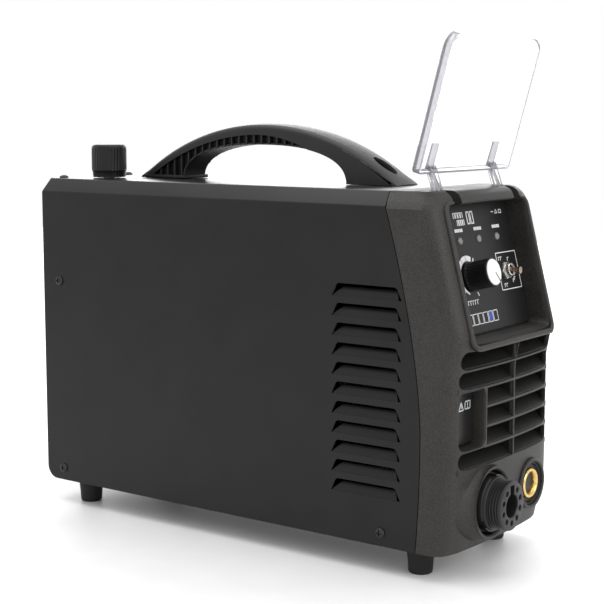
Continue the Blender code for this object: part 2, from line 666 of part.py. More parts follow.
def front_moulding():
    shell = front_solid("front_moulding", 0, seam_y)
    shell.data.materials.append(FRONT_PLASTIC)
    lip = front_solid("moulding_lip", SHEET + GAP, lambda z: seam_y(z) + FLANGE_DEPTH)
    torch_rim = rod("torch_rim", (TORCH_X, FRONT_Y + 0.01, SOCKET_Z),
                    (TORCH_X, FRONT_Y - BOSS_RISE, SOCKET_Z),
                    TORCH_NUT_R + 0.0055, steps=36)
    earth_rim = rod("earth_rim", (EARTH_X, FRONT_Y + 0.01, SOCKET_Z),
                    (EARTH_X, FRONT_Y - BOSS_RISE * 0.4, SOCKET_Z), EARTH_POCKET_R + 0.0025, steps=32)
    join(shell, lip, torch_rim, earth_rim)

    hollow = guide(front_solid("front_hollow", WALL, lambda z: seam_y(z) + 0.02))
    inner_front = FRONT_Y + WALL
    backing = []
    for side in (-1, 1):
        half_block = NOTCH_WIDTH / 2 + HINGE_CHEEK
        backing.append(box(f"hinge_block_{side}", (side * HINGE_X - half_block, HINGE_Y - 0.009,
                                                   RECESS_TOP - 0.001),
                           (side * HINGE_X + half_block, HINGE_Y + 0.0115, TOP_Z)))
    backing.append(tub("tub_outside", TUB_WALL, 0.0))
    backing.append(box("pocket_outside", (-HALF, FRONT_Y - 0.001, POCKET_FOOT - 0.002),
                       (-VENT_HALF + POCKET_WIDTH - 0.0005, FRONT_Y + POCKET_DEPTH + 0.002,
                        POCKET_TOP + 0.002)))
    backing.append(rod("torch_backing", (TORCH_X, inner_front - 0.004, SOCKET_Z),
                       (TORCH_X, TORCH_FACE_Y + SOCKET_BACKING, SOCKET_Z), TORCH_NUT_R + 0.004, steps=36))
    backing.append(rod("earth_backing", (EARTH_X, inner_front - 0.004, SOCKET_Z),
                       (EARTH_X, EARTH_FACE_Y + SOCKET_BACKING, SOCKET_Z), EARTH_POCKET_R + 0.0025, steps=32))
    cut(hollow, *backing)

    notches = [box(f"hinge_notch_{side}", (side * HINGE_X - NOTCH_WIDTH / 2, HINGE_Y - 0.030,
                                           RECESS_TOP - 0.006),
                   (side * HINGE_X + NOTCH_WIDTH / 2, HINGE_Y + 0.0085, TOP_Z + 0.01)) for side in (-1, 1)]
    pins = [rod(f"pin_bore_{side}", (side * HINGE_X - PIN_HALF - GAP, HINGE_Y, HINGE_Z),
                (side * HINGE_X + PIN_HALF + GAP, HINGE_Y, HINGE_Z), HINGE_PIN_R + GAP, steps=12)
            for side in (-1, 1)]
    torch_hole = turned("torch_hole", (TORCH_X, TORCH_FACE_Y, SOCKET_Z), (0, 1, 0),
                        [(0, -0.02), (TORCH_NUT_R + 0.0015, -0.02), (TORCH_NUT_R + 0.0015, 0),
                         (TORCH_BARREL_R + GAP, 0), (TORCH_BARREL_R + GAP, 0.02), (0, 0.02)], steps=36)
    earth_hole = turned("earth_hole", (EARTH_X, EARTH_FACE_Y, SOCKET_Z), (0, 1, 0),
                        [(0, -0.02), (EARTH_POCKET_R, -0.02), (EARTH_POCKET_R, 0),
                         (EARTH_BODY_R + GAP, 0), (EARTH_BODY_R + GAP, 0.02), (0, 0.02)], steps=32)
    pocket = box("label_pocket", (-HALF - 0.01, FRONT_Y - 0.01, POCKET_FOOT),
                 (-VENT_HALF + POCKET_WIDTH - 0.0025, FRONT_Y + POCKET_DEPTH, POCKET_TOP))
    keep_side = box("pocket_side", (-HALF - 0.02, FRONT_Y - 0.02, POCKET_FOOT - 0.01),
                    (-VENT_HALF, FRONT_Y + 0.03, POCKET_TOP + 0.01))
    cut(pocket, keep_side)
    floor_cut = box("tray_clearance", (-TONGUE_HALF - GAP, TONGUE_FRONT - GAP, BASE_Z - 0.001),
                    (TONGUE_HALF + GAP, SEAM_Y + 0.05, BASE_Z + WALL + 0.002))
    cut(shell, hollow, tub("tub_inside", 0.0, 0.03), *notches, *pins, torch_hole, earth_hole, pocket,
        vent_slots(), floor_cut)
    for index, (x, y, radius) in enumerate(FLOOR_HOLES):
        cut(shell, rod(f"floor_hole_{index}", (x, y, -0.01), (x, y, 0.01), radius + GAP, steps=16,
                       parent=FASCIA_PLANE))
    return shell


PIN_HALF = NOTCH_WIDTH / 2 + HINGE_CHEEK - 0.0008
BUSH_R = 0.0035
TOGGLE_BUSH_R = 0.0045
TOGGLE_CASE_R = 0.0078
TOGGLE_NUT_R = 0.0066
TOGGLE_SWING = math.radians(24)
FLOOR_HOLES = [(LED_MIDDLE_X + LED_PITCH * step, LED_ROW, LED_R) for step in (-1, 0, 1)]
FLOOR_HOLES += [(KNOB_X, CONTROL_ROW, BUSH_R), (TOGGLE_X, CONTROL_ROW, TOGGLE_BUSH_R)]
front_moulding()


# ---------------------------------------------------------------- controls in the recess
FASCIA_HALF_HEIGHT = RECESS_HEIGHT / 2 / math.cos(FACE_LEAN) - 0.0009
FASCIA_FACE = GAP + FASCIA_THICKNESS
BOARD_FRONT = -TUB_WALL - 0.007     # circuit board behind the recess floor, along the fascia's normal
BOARD_THICKNESS = 0.0016
POT_REAR = BOARD_FRONT - BOARD_THICKNESS - GAP


def on_fascia(name, x, up, profile, paint, steps=24, ring=False):
    """A round piece whose axis stands on the fascia plane at (x, up)."""
    piece = turned(name, (0, 0, 0), (0, 0, 1), profile, paint, steps, parent=FASCIA_PLANE, ring=ring)
    piece.location = (x, up, 0)
    return piece


def fascia_drill(name, holes):
    """One guide with a round cutter on the fascia plane at each (x, up, radius)."""
    drill = gather(name, [rod(f"{name}_{index}", (x, y, -0.03), (x, y, 0.01), radius, steps=16)
                          for index, (x, y, radius) in enumerate(holes)])
    drill.parent = FASCIA_PLANE
    return drill


fascia = box("control_fascia", (-RECESS_HALF + GAP, -FASCIA_HALF_HEIGHT, GAP),
             (RECESS_HALF - GAP, FASCIA_HALF_HEIGHT, FASCIA_FACE), BLACK_PLASTIC, FASCIA_PLANE)
cut(fascia, fascia_drill("fascia_holes", [(x, y, radius + GAP) for x, y, radius in FLOOR_HOLES]))
control_board = box("control_board", (-RECESS_HALF + 0.006, -0.030, BOARD_FRONT - BOARD_THICKNESS),
                    (RECESS_HALF - 0.006, 0.032, BOARD_FRONT), BOARD_GREEN, FASCIA_PLANE)
cut(control_board, fascia_drill("board_holes", [(KNOB_X, CONTROL_ROW, BUSH_R + GAP),
                                                (TOGGLE_X, CONTROL_ROW, TOGGLE_CASE_R + GAP)]))

for number, step in enumerate((-1, 0, 1)):
    on_fascia(f"indicator_led_{number + 1}", LED_MIDDLE_X + LED_PITCH * step, LED_ROW,
              [(0, BOARD_FRONT + GAP), (LED_R - 0.0004, BOARD_FRONT + GAP), (LED_R - 0.0004, FASCIA_FACE),
               (LED_R - 0.0006, FASCIA_FACE + 0.0010), (0, FASCIA_FACE + 0.0018)], LED_LENS, 14)

SHAFT_END = FASCIA_FACE + 0.011
on_fascia("potentiometer", KNOB_X, CONTROL_ROW,
          [(0, POT_REAR - 0.008), (0.0085, POT_REAR - 0.008), (0.0085, POT_REAR), (BUSH_R, POT_REAR),
           (BUSH_R, FASCIA_FACE + 0.0006), (SHAFT_R, FASCIA_FACE + 0.0006), (SHAFT_R, SHAFT_END),
           (0, SHAFT_END)], STEEL, 20)

KNOB_SEAT = FASCIA_FACE + 0.0012
KNOB_END = KNOB_SEAT + CURRENT_KNOB_LENGTH
CAP_R = CURRENT_KNOB_R - 0.0010
CAP_FLOOR = KNOB_END - 0.0012
on_fascia("current_knob", KNOB_X, CONTROL_ROW,
          [(SHAFT_R + GAP, KNOB_SEAT), (CURRENT_KNOB_R - 0.0004, KNOB_SEAT),
           (CURRENT_KNOB_R, KNOB_SEAT + 0.0006),
           (CURRENT_KNOB_R - 0.0003, KNOB_END - 0.0006), (CURRENT_KNOB_R - 0.0006, KNOB_END),
           (CAP_R, KNOB_END),
           (CAP_R, CAP_FLOOR), (0, CAP_FLOOR), (0, SHAFT_END + GAP), (SHAFT_R + GAP, SHAFT_END + GAP)],
          BLACK_PLASTIC, 28, ring=True)
on_fascia("current_knob_cap", KNOB_X, CONTROL_ROW,
          [(0, CAP_FLOOR + GAP / 2), (CAP_R - GAP / 2, CAP_FLOOR + GAP / 2),
           (CAP_R - GAP / 2, KNOB_END + 0.0002),
           (CAP_R - 0.0008, KNOB_END + 0.0005), (0, KNOB_END + 0.0006)], PALE_CAP, 28)

TOGGLE_BORE_R = 0.0030
TOGGLE_MOUTH = FASCIA_FACE + 0.0058
TOGGLE_PIVOT = FASCIA_FACE + 0.0034
on_fascia("toggle_switch_body", TOGGLE_X, CONTROL_ROW,
          [(0, POT_REAR - 0.010), (TOGGLE_CASE_R, POT_REAR - 0.010), (TOGGLE_CASE_R, BOARD_FRONT + 0.004),
           (TOGGLE_BUSH_R, BOARD_FRONT + 0.004), (TOGGLE_BUSH_R, TOGGLE_MOUTH - 0.0006),
           (TOGGLE_BUSH_R - 0.0005, TOGGLE_MOUTH), (TOGGLE_BORE_R + 0.0008, TOGGLE_MOUTH),
           (TOGGLE_BORE_R, TOGGLE_MOUTH - 0.0015), (TOGGLE_BORE_R, FASCIA_FACE - 0.0012),
           (0, FASCIA_FACE - 0.0012)], STEEL, 20)
nut_outline = arc((TOGGLE_X, CONTROL_ROW), TOGGLE_NUT_R, 0, 300, 5)
toggle_nut = prism("toggle_nut", nut_outline, "Z", FASCIA_FACE + GAP, FASCIA_FACE + 0.0026, STEEL,
                   FASCIA_PLANE)
cut(toggle_nut, fascia_drill("nut_bore", [(TOGGLE_X, CONTROL_ROW, TOGGLE_BUSH_R + GAP)]))
lever = on_fascia("toggle_lever", TOGGLE_X, CONTROL_ROW,
                  [(0, -0.0022), (0.0016, -0.0019), (0.0022, -0.0008), (0.0021, 0.0010), (0.0015, 0.0024),
                   (0.0018, 0.0050), (0.0026, 0.0082), (0.0022, 0.0090), (0, 0.0094)], STEEL, 16)
lever.location.z = TOGGLE_PIVOT
lever.rotation_euler = (TOGGLE_SWING / 2, 0, 0)

box("label_plate", (-VENT_HALF + GAP, FRONT_Y + POCKET_DEPTH - 0.0015, POCKET_FOOT + 0.002),
    (-VENT_HALF + POCKET_WIDTH - 0.0035, FRONT_Y + POCKET_DEPTH - GAP, POCKET_TOP - 0.002), LABEL)

# ---------------------------------------------------------------- lid and its hinge
LID_HINGE = empty("lid_hinge", (0, HINGE_Y, HINGE_Z), math.pi / 2 + LID_LEAN)
LID_HALF = HALF - LID_MARGIN
LID_FACE = -ARM_OFFSET          # inner face of the lid's sheet, along the normal that points forward when open
KNUCKLE_R = 0.0042


def lid_tray(name, half, low, high, corner, near, far):
    """A flat block along the lid with its two free corners rounded."""
    outline = [(-half, low), (half, low)] + arc((half - corner, high - corner), corner, 0, 90, 5)
    outline += arc((-half + corner, high - corner), corner, 90, 180, 5)
    return prism(name, outline, "Z", near, far, parent=LID_HINGE)


def lid():
    """Clear cover with a flange all round, and two arms that reach down to the hinge pins."""
    wall = LID_THICKNESS
    end = ARM_REACH + LID_LENGTH
    cover = lid_tray("lid", LID_HALF, ARM_REACH, end, LID_CORNER_R, LID_FACE - wall, LID_FACE + LID_FLANGE)
    cover.data.materials.append(SMOKED_LID)
    cut(cover, lid_tray("lid_inside", LID_HALF - wall, ARM_REACH + wall, end - wall, LID_CORNER_R - wall,
                        LID_FACE, LID_FACE + LID_FLANGE + 0.01))
    for side in (-1, 1):
        back = LID_FACE - wall * 0.6
        outline = [(ARM_REACH + 0.0015, back), (ARM_REACH + 0.018, back),
                   (ARM_REACH + 0.018, LID_FACE + 0.001),
                   (ARM_REACH + 0.006, LID_FACE + 0.003)] + arc((0, 0), KNUCKLE_R, 45, 220, 8)
        middle = side * HINGE_X
        join(cover, prism(f"lid_arm_{side}", outline, "X", middle - ARM_WIDTH / 2, middle + ARM_WIDTH / 2,
                          parent=LID_HINGE))
        cut(cover, rod(f"lid_bore_{side}", (middle - 0.02, 0, 0), (middle + 0.02, 0, 0), HINGE_PIN_R + GAP,
                       steps=16, parent=LID_HINGE))


lid()
for side_x, side in ((-HINGE_X, "left"), (HINGE_X, "right")):
    rod(f"hinge_pin_{side}", (side_x - PIN_HALF, HINGE_Y, HINGE_Z), (side_x + PIN_HALF, HINGE_Y, HINGE_Z),
        HINGE_PIN_R, STEEL, 12)

# ---------------------------------------------------------------- torch and earth sockets
NUT_DEPTH = 0.0115
NUT_SEAT = FRONT_Y - TORCH_FACE_Y           # along the socket axis, forward of the flat middle of the front
THREAD_PITCH = 0.0020
NUT_NOTCHES = 8
NOTCH_R = 0.0016


def torch_socket():
    backing = NUT_SEAT - SOCKET_BACKING - GAP
    profile = [(0, backing - 0.0294), (0.006, backing - 0.0294), (0.006, backing - 0.0144),
               (0.013, backing - 0.0144), (0.013, backing - 0.003), (TORCH_BARREL_R + 0.002, backing - 0.003),
               (TORCH_BARREL_R + 0.002, backing), (TORCH_BARREL_R, backing)]
    along = NUT_SEAT + NUT_DEPTH + 0.0006
    while along < TORCH_REACH - 0.0022:
        profile += [(TORCH_BARREL_R, along), (TORCH_BARREL_R - 0.0008, along + THREAD_PITCH / 2)]
        along += THREAD_PITCH
    profile += [(TORCH_BARREL_R, along), (TORCH_BARREL_R, TORCH_REACH - 0.0006),
                (TORCH_BARREL_R - 0.0006, TORCH_REACH), (TORCH_BORE_R + 0.0004, TORCH_REACH),
                (TORCH_BORE_R, TORCH_REACH - 0.0004), (TORCH_BORE_R, NUT_SEAT + 0.001), (0, NUT_SEAT + 0.001)]
    socket = turned("torch_socket", (TORCH_X, FRONT_Y, SOCKET_Z), (0, -1, 0), profile, SOCKET_PLASTIC, 36)
    end = FRONT_Y - TORCH_REACH
    holes = [box("key_slot", (TORCH_X - TORCH_KEY_WIDTH / 2, end - 0.01, SOCKET_Z),
                 (TORCH_X + TORCH_KEY_WIDTH / 2, end + 0.010, SOCKET_Z + TORCH_KEY_REACH))]
    for index in range(TORCH_PIN_HOLES):
        angle = math.pi / 2 + 2 * math.pi * (index + 1) / (TORCH_PIN_HOLES + 1)
        x = TORCH_X + TORCH_PIN_RING_R * math.cos(angle)
        z = SOCKET_Z + TORCH_PIN_RING_R * math.sin(angle)
        holes.append(rod(f"pin_hole_{index}", (x, end - 0.01, z), (x, end + 0.009, z), TORCH_PIN_HOLE_R,
                         steps=10))
    cut(socket, gather("socket_holes", holes))


def torch_nut():
    seat_y = TORCH_FACE_Y - GAP
    nut = turned("torch_nut", (TORCH_X, seat_y, SOCKET_Z), (0, -1, 0),
                 [(TORCH_BARREL_R + GAP, 0), (TORCH_NUT_R, 0), (TORCH_NUT_R, NUT_DEPTH - 0.001),
                  (TORCH_NUT_R - 0.001, NUT_DEPTH), (TORCH_BARREL_R + GAP, NUT_DEPTH)], BLACK_PLASTIC, 32,
                  ring=True)
    notches = []
    for index in range(NUT_NOTCHES):
        angle = 2 * math.pi * index / NUT_NOTCHES
        x = TORCH_X + TORCH_NUT_R * math.cos(angle)
        z = SOCKET_Z + TORCH_NUT_R * math.sin(angle)
        notches.append(rod(f"notch_{index}", (x, seat_y - NUT_DEPTH - 0.01, z), (x, seat_y - 0.002, z),
                           NOTCH_R, steps=10))
    cut(nut, gather("nut_notches", notches))


torch_socket()
torch_nut()
EARTH_SEAT = FRONT_Y - EARTH_FACE_Y
turned("earth_socket_body", (EARTH_X, FRONT_Y, SOCKET_Z), (0, -1, 0),
       [(EARTH_RING_R + GAP, EARTH_SEAT - 0.018), (EARTH_BODY_R, EARTH_SEAT - 0.018),
        (EARTH_BODY_R, EARTH_SEAT + GAP),
        (EARTH_POCKET_R - GAP, EARTH_SEAT + GAP), (EARTH_POCKET_R - GAP, EARTH_SEAT + 0.0026),
        (EARTH_RING_R + 0.0012, EARTH_SEAT + 0.0032), (EARTH_RING_R + GAP, EARTH_SEAT + 0.0032)],
       BLACK_PLASTIC, 32, ring=True)
turned("earth_socket_brass", (EARTH_X, FRONT_Y, SOCKET_Z), (0, -1, 0),
       [(0, -EARTH_DEPTH - 0.008), (0.005, -EARTH_DEPTH - 0.008), (0.005, -EARTH_DEPTH),
        (EARTH_RING_R, -EARTH_DEPTH),
        (EARTH_RING_R, -0.0006), (EARTH_RING_R - 0.0006, 0), (EARTH_BORE_R + 0.0008, 0),
        (EARTH_BORE_R, -0.0010),
        (EARTH_BORE_R, -EARTH_DEPTH * 0.75), (0, -EARTH_DEPTH * 0.75)], BRASS, 32)

# ---------------------------------------------------------------- handle
HANDLE_MIDDLE = (HANDLE_REAR + HANDLE_FRONT) / 2 + 0.001
APEX_Z = TOP_Z + HANDLE_RISE
HANDLE_FOOT_Z = TOP_Z + GAP


def bow(height, radius):
    """Height of an arc with the given apex over the middle of the handle, as a function of y."""
    return lambda y: height - radius + math.sqrt(radius ** 2 - (y - HANDLE_MIDDLE) ** 2)


def along_bow(curve, start, end, steps):
    return [(start + (end - start) * step / steps, curve(start + (end - start) * step / steps))
            for step in range(steps + 1)]


def handle():
    span = HANDLE_LENGTH / 2
    rise = HANDLE_RISE - 0.0010
    outer_r = (span ** 2 + rise ** 2) / (2 * rise)
    outer, inner = bow(APEX_Z, outer_r), bow(APEX_Z - HANDLE_GRIP, outer_r * 0.895)
    rear_leg, front_leg = HANDLE_REAR - HANDLE_FOOT_LENGTH, HANDLE_FRONT + HANDLE_FOOT_LENGTH
    sole = HANDLE_FOOT_Z + 0.0005
    outline = [(HANDLE_REAR - 0.0005, sole)] + along_bow(outer, HANDLE_REAR - 0.001, HANDLE_FRONT + 0.001, 20)
    outline += [(HANDLE_FRONT + 0.0005, sole)]
    outline += rounded([(front_leg, sole, 0), (front_leg, inner(front_leg), 0.010),
                        (front_leg + 0.016, inner(front_leg + 0.016), 0)])
    outline += along_bow(inner, front_leg + 0.016, rear_leg - 0.016, 14)[1:-1]
    outline += rounded([(rear_leg - 0.016, inner(rear_leg - 0.016), 0), (rear_leg, inner(rear_leg), 0.010),
                        (rear_leg, sole, 0)])
    grip = prism("handle", outline, "X", -HANDLE_HALF_WIDTH, HANDLE_HALF_WIDTH, BLACK_PLASTIC)
    skin = bow(APEX_Z - HANDLE_GRIP * 0.55, outer_r * 0.95)
    for side in (-1, 1):
        web = along_bow(skin, front_leg - 0.003, rear_leg + 0.003, 12)
        web += [(rear_leg + 0.003, TOP_Z - 0.005), (front_leg - 0.003, TOP_Z - 0.005)]
        across = sorted((side * HANDLE_HALF_WIDTH * 0.75, side * HANDLE_HALF_WIDTH * 1.5))
        cut(grip, prism(f"handle_web_{side}", web, "X", *across))
    for index, (low, high) in enumerate(((rear_leg - 0.002, HANDLE_REAR + 0.002),
                                         (HANDLE_FRONT - 0.002, front_leg + 0.002))):
        join(grip, box(f"handle_base_{index}", (-HANDLE_HALF_WIDTH - 0.003, low, HANDLE_FOOT_Z),
                       (HANDLE_HALF_WIDTH + 0.003, high, HANDLE_FOOT_Z + HANDLE_BASE)))
    for index, y in enumerate(HANDLE_SCREW_Y):
        cut(grip, turned(f"handle_drill_{index}", (0, y, HANDLE_SCREW_SEAT), (0, 0, 1),
                         [(0, -0.02), (HANDLE_SCREW_R + GAP, -0.02), (HANDLE_SCREW_R + GAP, 0), (0.0055, 0),
                          (0.0055, 0.04), (0, 0.04)], steps=16))
        screw(f"handle_screw_{index + 1}", (0, y, HANDLE_SCREW_SEAT), (0, 0, 1), 0.0046, HANDLE_SCREW_R,
              0.018)


HANDLE_SCREW_SEAT = HANDLE_FOOT_Z + 0.006
handle()

# ---------------------------------------------------------------- air regulator, gauge and inlet
BODY_TOP = TOP_Z - SHEET - 2 * GAP
BODY_FOOT = BODY_TOP - REGULATOR_HEIGHT
STEM_TOP = TOP_Z + 0.018
KNOB_FOOT = TOP_Z + 0.0008
HALF_BODY = REGULATOR_BODY / 2


def octagon(x, y, half, corner):
    return [(x - half, y - half + corner), (x - half + corner, y - half), (x + half - corner, y - half),
            (x + half, y - half + corner), (x + half, y + half - corner), (x + half - corner, y + half),
            (x - half + corner, y + half), (x - half, y + half - corner)]


regulator = prism("regulator_body", octagon(REGULATOR_X, REGULATOR_Y, HALF_BODY, 0.006), "Z", BODY_FOOT,
                  BODY_TOP,
                  ALUMINIUM)
join(regulator, turned("regulator_neck", (REGULATOR_X, REGULATOR_Y, 0), (0, 0, 1),
                       [(0, BODY_TOP - 0.004), (REGULATOR_STEM_R, BODY_TOP - 0.004),
                        (REGULATOR_STEM_R, TOP_Z - GAP), (0.004, TOP_Z - GAP), (0.004, STEM_TOP),
                        (0, STEM_TOP)]))
turned("regulator_knob", (REGULATOR_X, REGULATOR_Y, KNOB_FOOT), (0, 0, 1),
       [(0.004 + GAP, 0), (REGULATOR_KNOB_R - 0.0008, 0), (REGULATOR_KNOB_R - 0.0008, 0.004),
        (REGULATOR_KNOB_R, 0.0048), (REGULATOR_KNOB_R, REGULATOR_KNOB_HEIGHT - 0.0025),
        (REGULATOR_KNOB_R - 0.0008, REGULATOR_KNOB_HEIGHT - 0.0008),
        (REGULATOR_KNOB_R - 0.0030, REGULATOR_KNOB_HEIGHT), (0, REGULATOR_KNOB_HEIGHT),
        (0, STEM_TOP - KNOB_FOOT + GAP), (0.004 + GAP, STEM_TOP - KNOB_FOOT + GAP)], BLACK_PLASTIC, 32,
        ring=True)
turned("regulator_bowl", (REGULATOR_X, REGULATOR_Y, BODY_FOOT - GAP), (0, 0, -1),
       [(0, 0), (BOWL_R, 0), (BOWL_R, BOWL_HEIGHT - 0.010), (BOWL_R * 0.7, BOWL_HEIGHT - 0.004),
        (0.004, BOWL_HEIGHT - 0.004), (0.004, BOWL_HEIGHT), (0, BOWL_HEIGHT)], CLEAR_BOWL, 28)
turned("pressure_gauge", (REGULATOR_X, REGULATOR_Y + HALF_BODY + GAP, GAUGE_Z), (0, 1, 0),
       [(0, 0), (0.005, 0), (0.005, 0.004), (GAUGE_R, 0.004), (GAUGE_R, 0.019), (GAUGE_R - 0.001, 0.0195),
        (GAUGE_R - 0.002, 0.0195), (GAUGE_R - 0.002, 0.0185), (0, 0.0185)], STEEL, 32)

NIPPLE_END = REAR_Y + NIPPLE_REACH
PANEL_IN, PANEL_OUT = REAR_Y - SHEET - GAP, REAR_Y + GAP
turned("air_inlet_nipple", (INLET_X, 0, GAUGE_Z), (0, 1, 0),
                [(0, PANEL_IN - 0.018), (0.0035, PANEL_IN - 0.018), (0.0042, PANEL_IN - 0.0155),
                 (0.0035, PANEL_IN - 0.0145), (0.0042, PANEL_IN - 0.012), (0.0035, PANEL_IN - 0.011),
                 (0.0035, PANEL_IN - 0.008), (0.0055, PANEL_IN - 0.008), (INLET_R - GAP, PANEL_IN),
                 (INLET_R - GAP, PANEL_OUT), (0.0080, PANEL_OUT), (0.0080, PANEL_OUT + 0.005),
                 (0.0058, PANEL_OUT + 0.0055), (0.0058, PANEL_OUT + 0.010), (0.0042, PANEL_OUT + 0.011),
                 (0.0042, NIPPLE_END - 0.006), (0.0052, NIPPLE_END - 0.0045), (0.0052, NIPPLE_END - 0.001),
                 (0.0046, NIPPLE_END), (0.0028, NIPPLE_END), (0.0028, NIPPLE_END - 0.016),
                 (0, NIPPLE_END - 0.016)], BRASS, 24)


# ---------------------------------------------------------------- hoses and the air valve
def hose(name, points, radius, paint, rings=18, steps=10):
    """A round hose along a smooth curve through the points."""
    ends = [Vector(point) for point in points]
    ends = [2 * ends[0] - ends[1]] + ends + [2 * ends[-1] - ends[-2]]
    line = []
    spans = len(points) - 1
    for ring in range(rings + 1):
        place = min(ring / rings * spans, spans - 1e-9)
        index, share = int(place), place - int(place)
        a, b, c, d = ends[index:index + 4]
        line.append(0.5 * ((2 * b) + (c - a) * share + (2 * a - 5 * b + 4 * c - d) * share ** 2
                           + (3 * b - a - 3 * c + d) * share ** 3))
    made = bmesh.new()
    rows = []
    normal = None
    for index, place in enumerate(line):
        tangent = (line[min(index + 1, rings)] - line[max(index - 1, 0)]).normalized()
        if index == 0:
            tangent = (ends[2] - ends[1]).normalized()
        if index == rings:
            tangent = (ends[-2] - ends[-3]).normalized()
        if normal is None:
            normal = tangent.orthogonal().normalized()
        normal = (normal - tangent * normal.dot(tangent)).normalized()
        side = tangent.cross(normal)
        rows.append([made.verts.new(place + radius * (normal * math.cos(2 * math.pi * step / steps)
                                                      + side * math.sin(2 * math.pi * step / steps)))
                     for step in range(steps)])
    for first, second in zip(rows, rows[1:]):
        for step in range(steps):
            after = (step + 1) % steps
            made.faces.new([first[step], first[after], second[after], second[step]])
    made.faces.new(rows[0])
    made.faces.new(rows[-1])
    return keep(name, made, paint)


FLOOR_Z = BASE_Z + SHEET + GAP
VALVE_X, VALVE_Y = REGULATOR_X - 0.005, REGULATOR_Y - 0.045
valve = box("solenoid_valve", (VALVE_X - 0.013, VALVE_Y - 0.015, FLOOR_Z),
            (VALVE_X + 0.013, VALVE_Y + 0.015, FLOOR_Z + 0.022),
            BRASS)
join(valve, box("valve_coil", (VALVE_X - 0.011, VALVE_Y - 0.014, FLOOR_Z + 0.020),
                (VALVE_X + 0.011, VALVE_Y + 0.006, FLOOR_Z + 0.044)),
     rod("valve_tail", (VALVE_X, VALVE_Y - 0.012, FLOOR_Z + 0.012),
         (VALVE_X, VALVE_Y - 0.023, FLOOR_Z + 0.012), 0.004,
         steps=16),
     rod("valve_inlet", (VALVE_X, VALVE_Y + 0.0105, FLOOR_Z + 0.012),
         (VALVE_X, VALVE_Y + 0.0105, FLOOR_Z + 0.032),
         0.0038, steps=16))
hose("inlet_hose", [(INLET_X, PANEL_IN - 0.0185, GAUGE_Z), (INLET_X, PANEL_IN - 0.024, GAUGE_Z),
                    (INLET_X - 0.009, REGULATOR_Y + 0.0015, GAUGE_Z),
                    (REGULATOR_X + HALF_BODY + 0.005, REGULATOR_Y, GAUGE_Z),
                    (REGULATOR_X + HALF_BODY + GAP, REGULATOR_Y, GAUGE_Z)], 0.004, HOSE_BLUE)
hose("outlet_hose", [(REGULATOR_X, REGULATOR_Y - HALF_BODY - GAP, GAUGE_Z),
                     (REGULATOR_X, REGULATOR_Y - HALF_BODY - 0.006, GAUGE_Z),
                     (VALVE_X, VALVE_Y + 0.013, GAUGE_Z - 0.012),
                     (VALVE_X, VALVE_Y + 0.012, GAUGE_Z - 0.050),
                     (VALVE_X, VALVE_Y + 0.0105, FLOOR_Z + 0.070),
                     (VALVE_X, VALVE_Y + 0.0105, FLOOR_Z + 0.0325)], 0.004, HOSE_BLUE, 24)
TORCH_TAIL_Y = FRONT_Y - NUT_SEAT + SOCKET_BACKING + GAP + 0.0294
hose("torch_hose", [(VALVE_X, VALVE_Y - 0.0235, FLOOR_Z + 0.012), (VALVE_X, VALVE_Y - 0.035, FLOOR_Z + 0.012),
                    (VALVE_X - 0.010, 0.0, FLOOR_Z + 0.014),
                    (VALVE_X - 0.008, FRONT_Y + 0.090, FLOOR_Z + 0.016),
                    (TORCH_X, TORCH_TAIL_Y + 0.014, SOCKET_Z), (TORCH_X, TORCH_TAIL_Y + 0.0005, SOCKET_Z)],
     0.0045, HOSE_BLUE, 30)

# ---------------------------------------------------------------- cooling fan
FAN_FRONT_Y = FAN_REAR_Y - FAN_DEPTH
HUB_R = 0.0135
ROTOR_R = FAN_SIZE / 2 - 0.0032
fan_frame = box("fan_frame", (-FAN_SIZE / 2, FAN_FRONT_Y, FAN_Z - FAN_SIZE / 2),
                (FAN_SIZE / 2, FAN_REAR_Y, FAN_Z + FAN_SIZE / 2), BLACK_PLASTIC)
bore = rod("fan_bore", (0, FAN_FRONT_Y - 0.01, FAN_Z), (0, FAN_REAR_Y + 0.01, FAN_Z), FAN_SIZE / 2 - 0.0018,
           steps=40)
corner_holes = gather("fan_corner_holes", [
    rod(f"fan_hole_{side}_{level}", (side * (FAN_SIZE / 2 - 0.005), FAN_FRONT_Y - 0.01,
                                     FAN_Z + level * (FAN_SIZE / 2 - 0.005)),
        (side * (FAN_SIZE / 2 - 0.005), FAN_REAR_Y + 0.01, FAN_Z + level * (FAN_SIZE / 2 - 0.005)), 0.0022,
        steps=12)
    for side in (-1, 1) for level in (-1, 1)])
cut(fan_frame, bore, corner_holes)
spider = [box("spider_0", (-FAN_SIZE / 2 + 0.0008, FAN_FRONT_Y, FAN_Z - 0.0022),
              (FAN_SIZE / 2 - 0.0008, FAN_FRONT_Y + 0.0035, FAN_Z + 0.0022)),
          box("spider_1", (-0.0022, FAN_FRONT_Y, FAN_Z - FAN_SIZE / 2 + 0.0008),
              (0.0022, FAN_FRONT_Y + 0.0035, FAN_Z + FAN_SIZE / 2 - 0.0008)),
          rod("spider_hub", (0, FAN_FRONT_Y, FAN_Z), (0, FAN_FRONT_Y + 0.0040, FAN_Z), HUB_R)]
join(fan_frame, *spider)


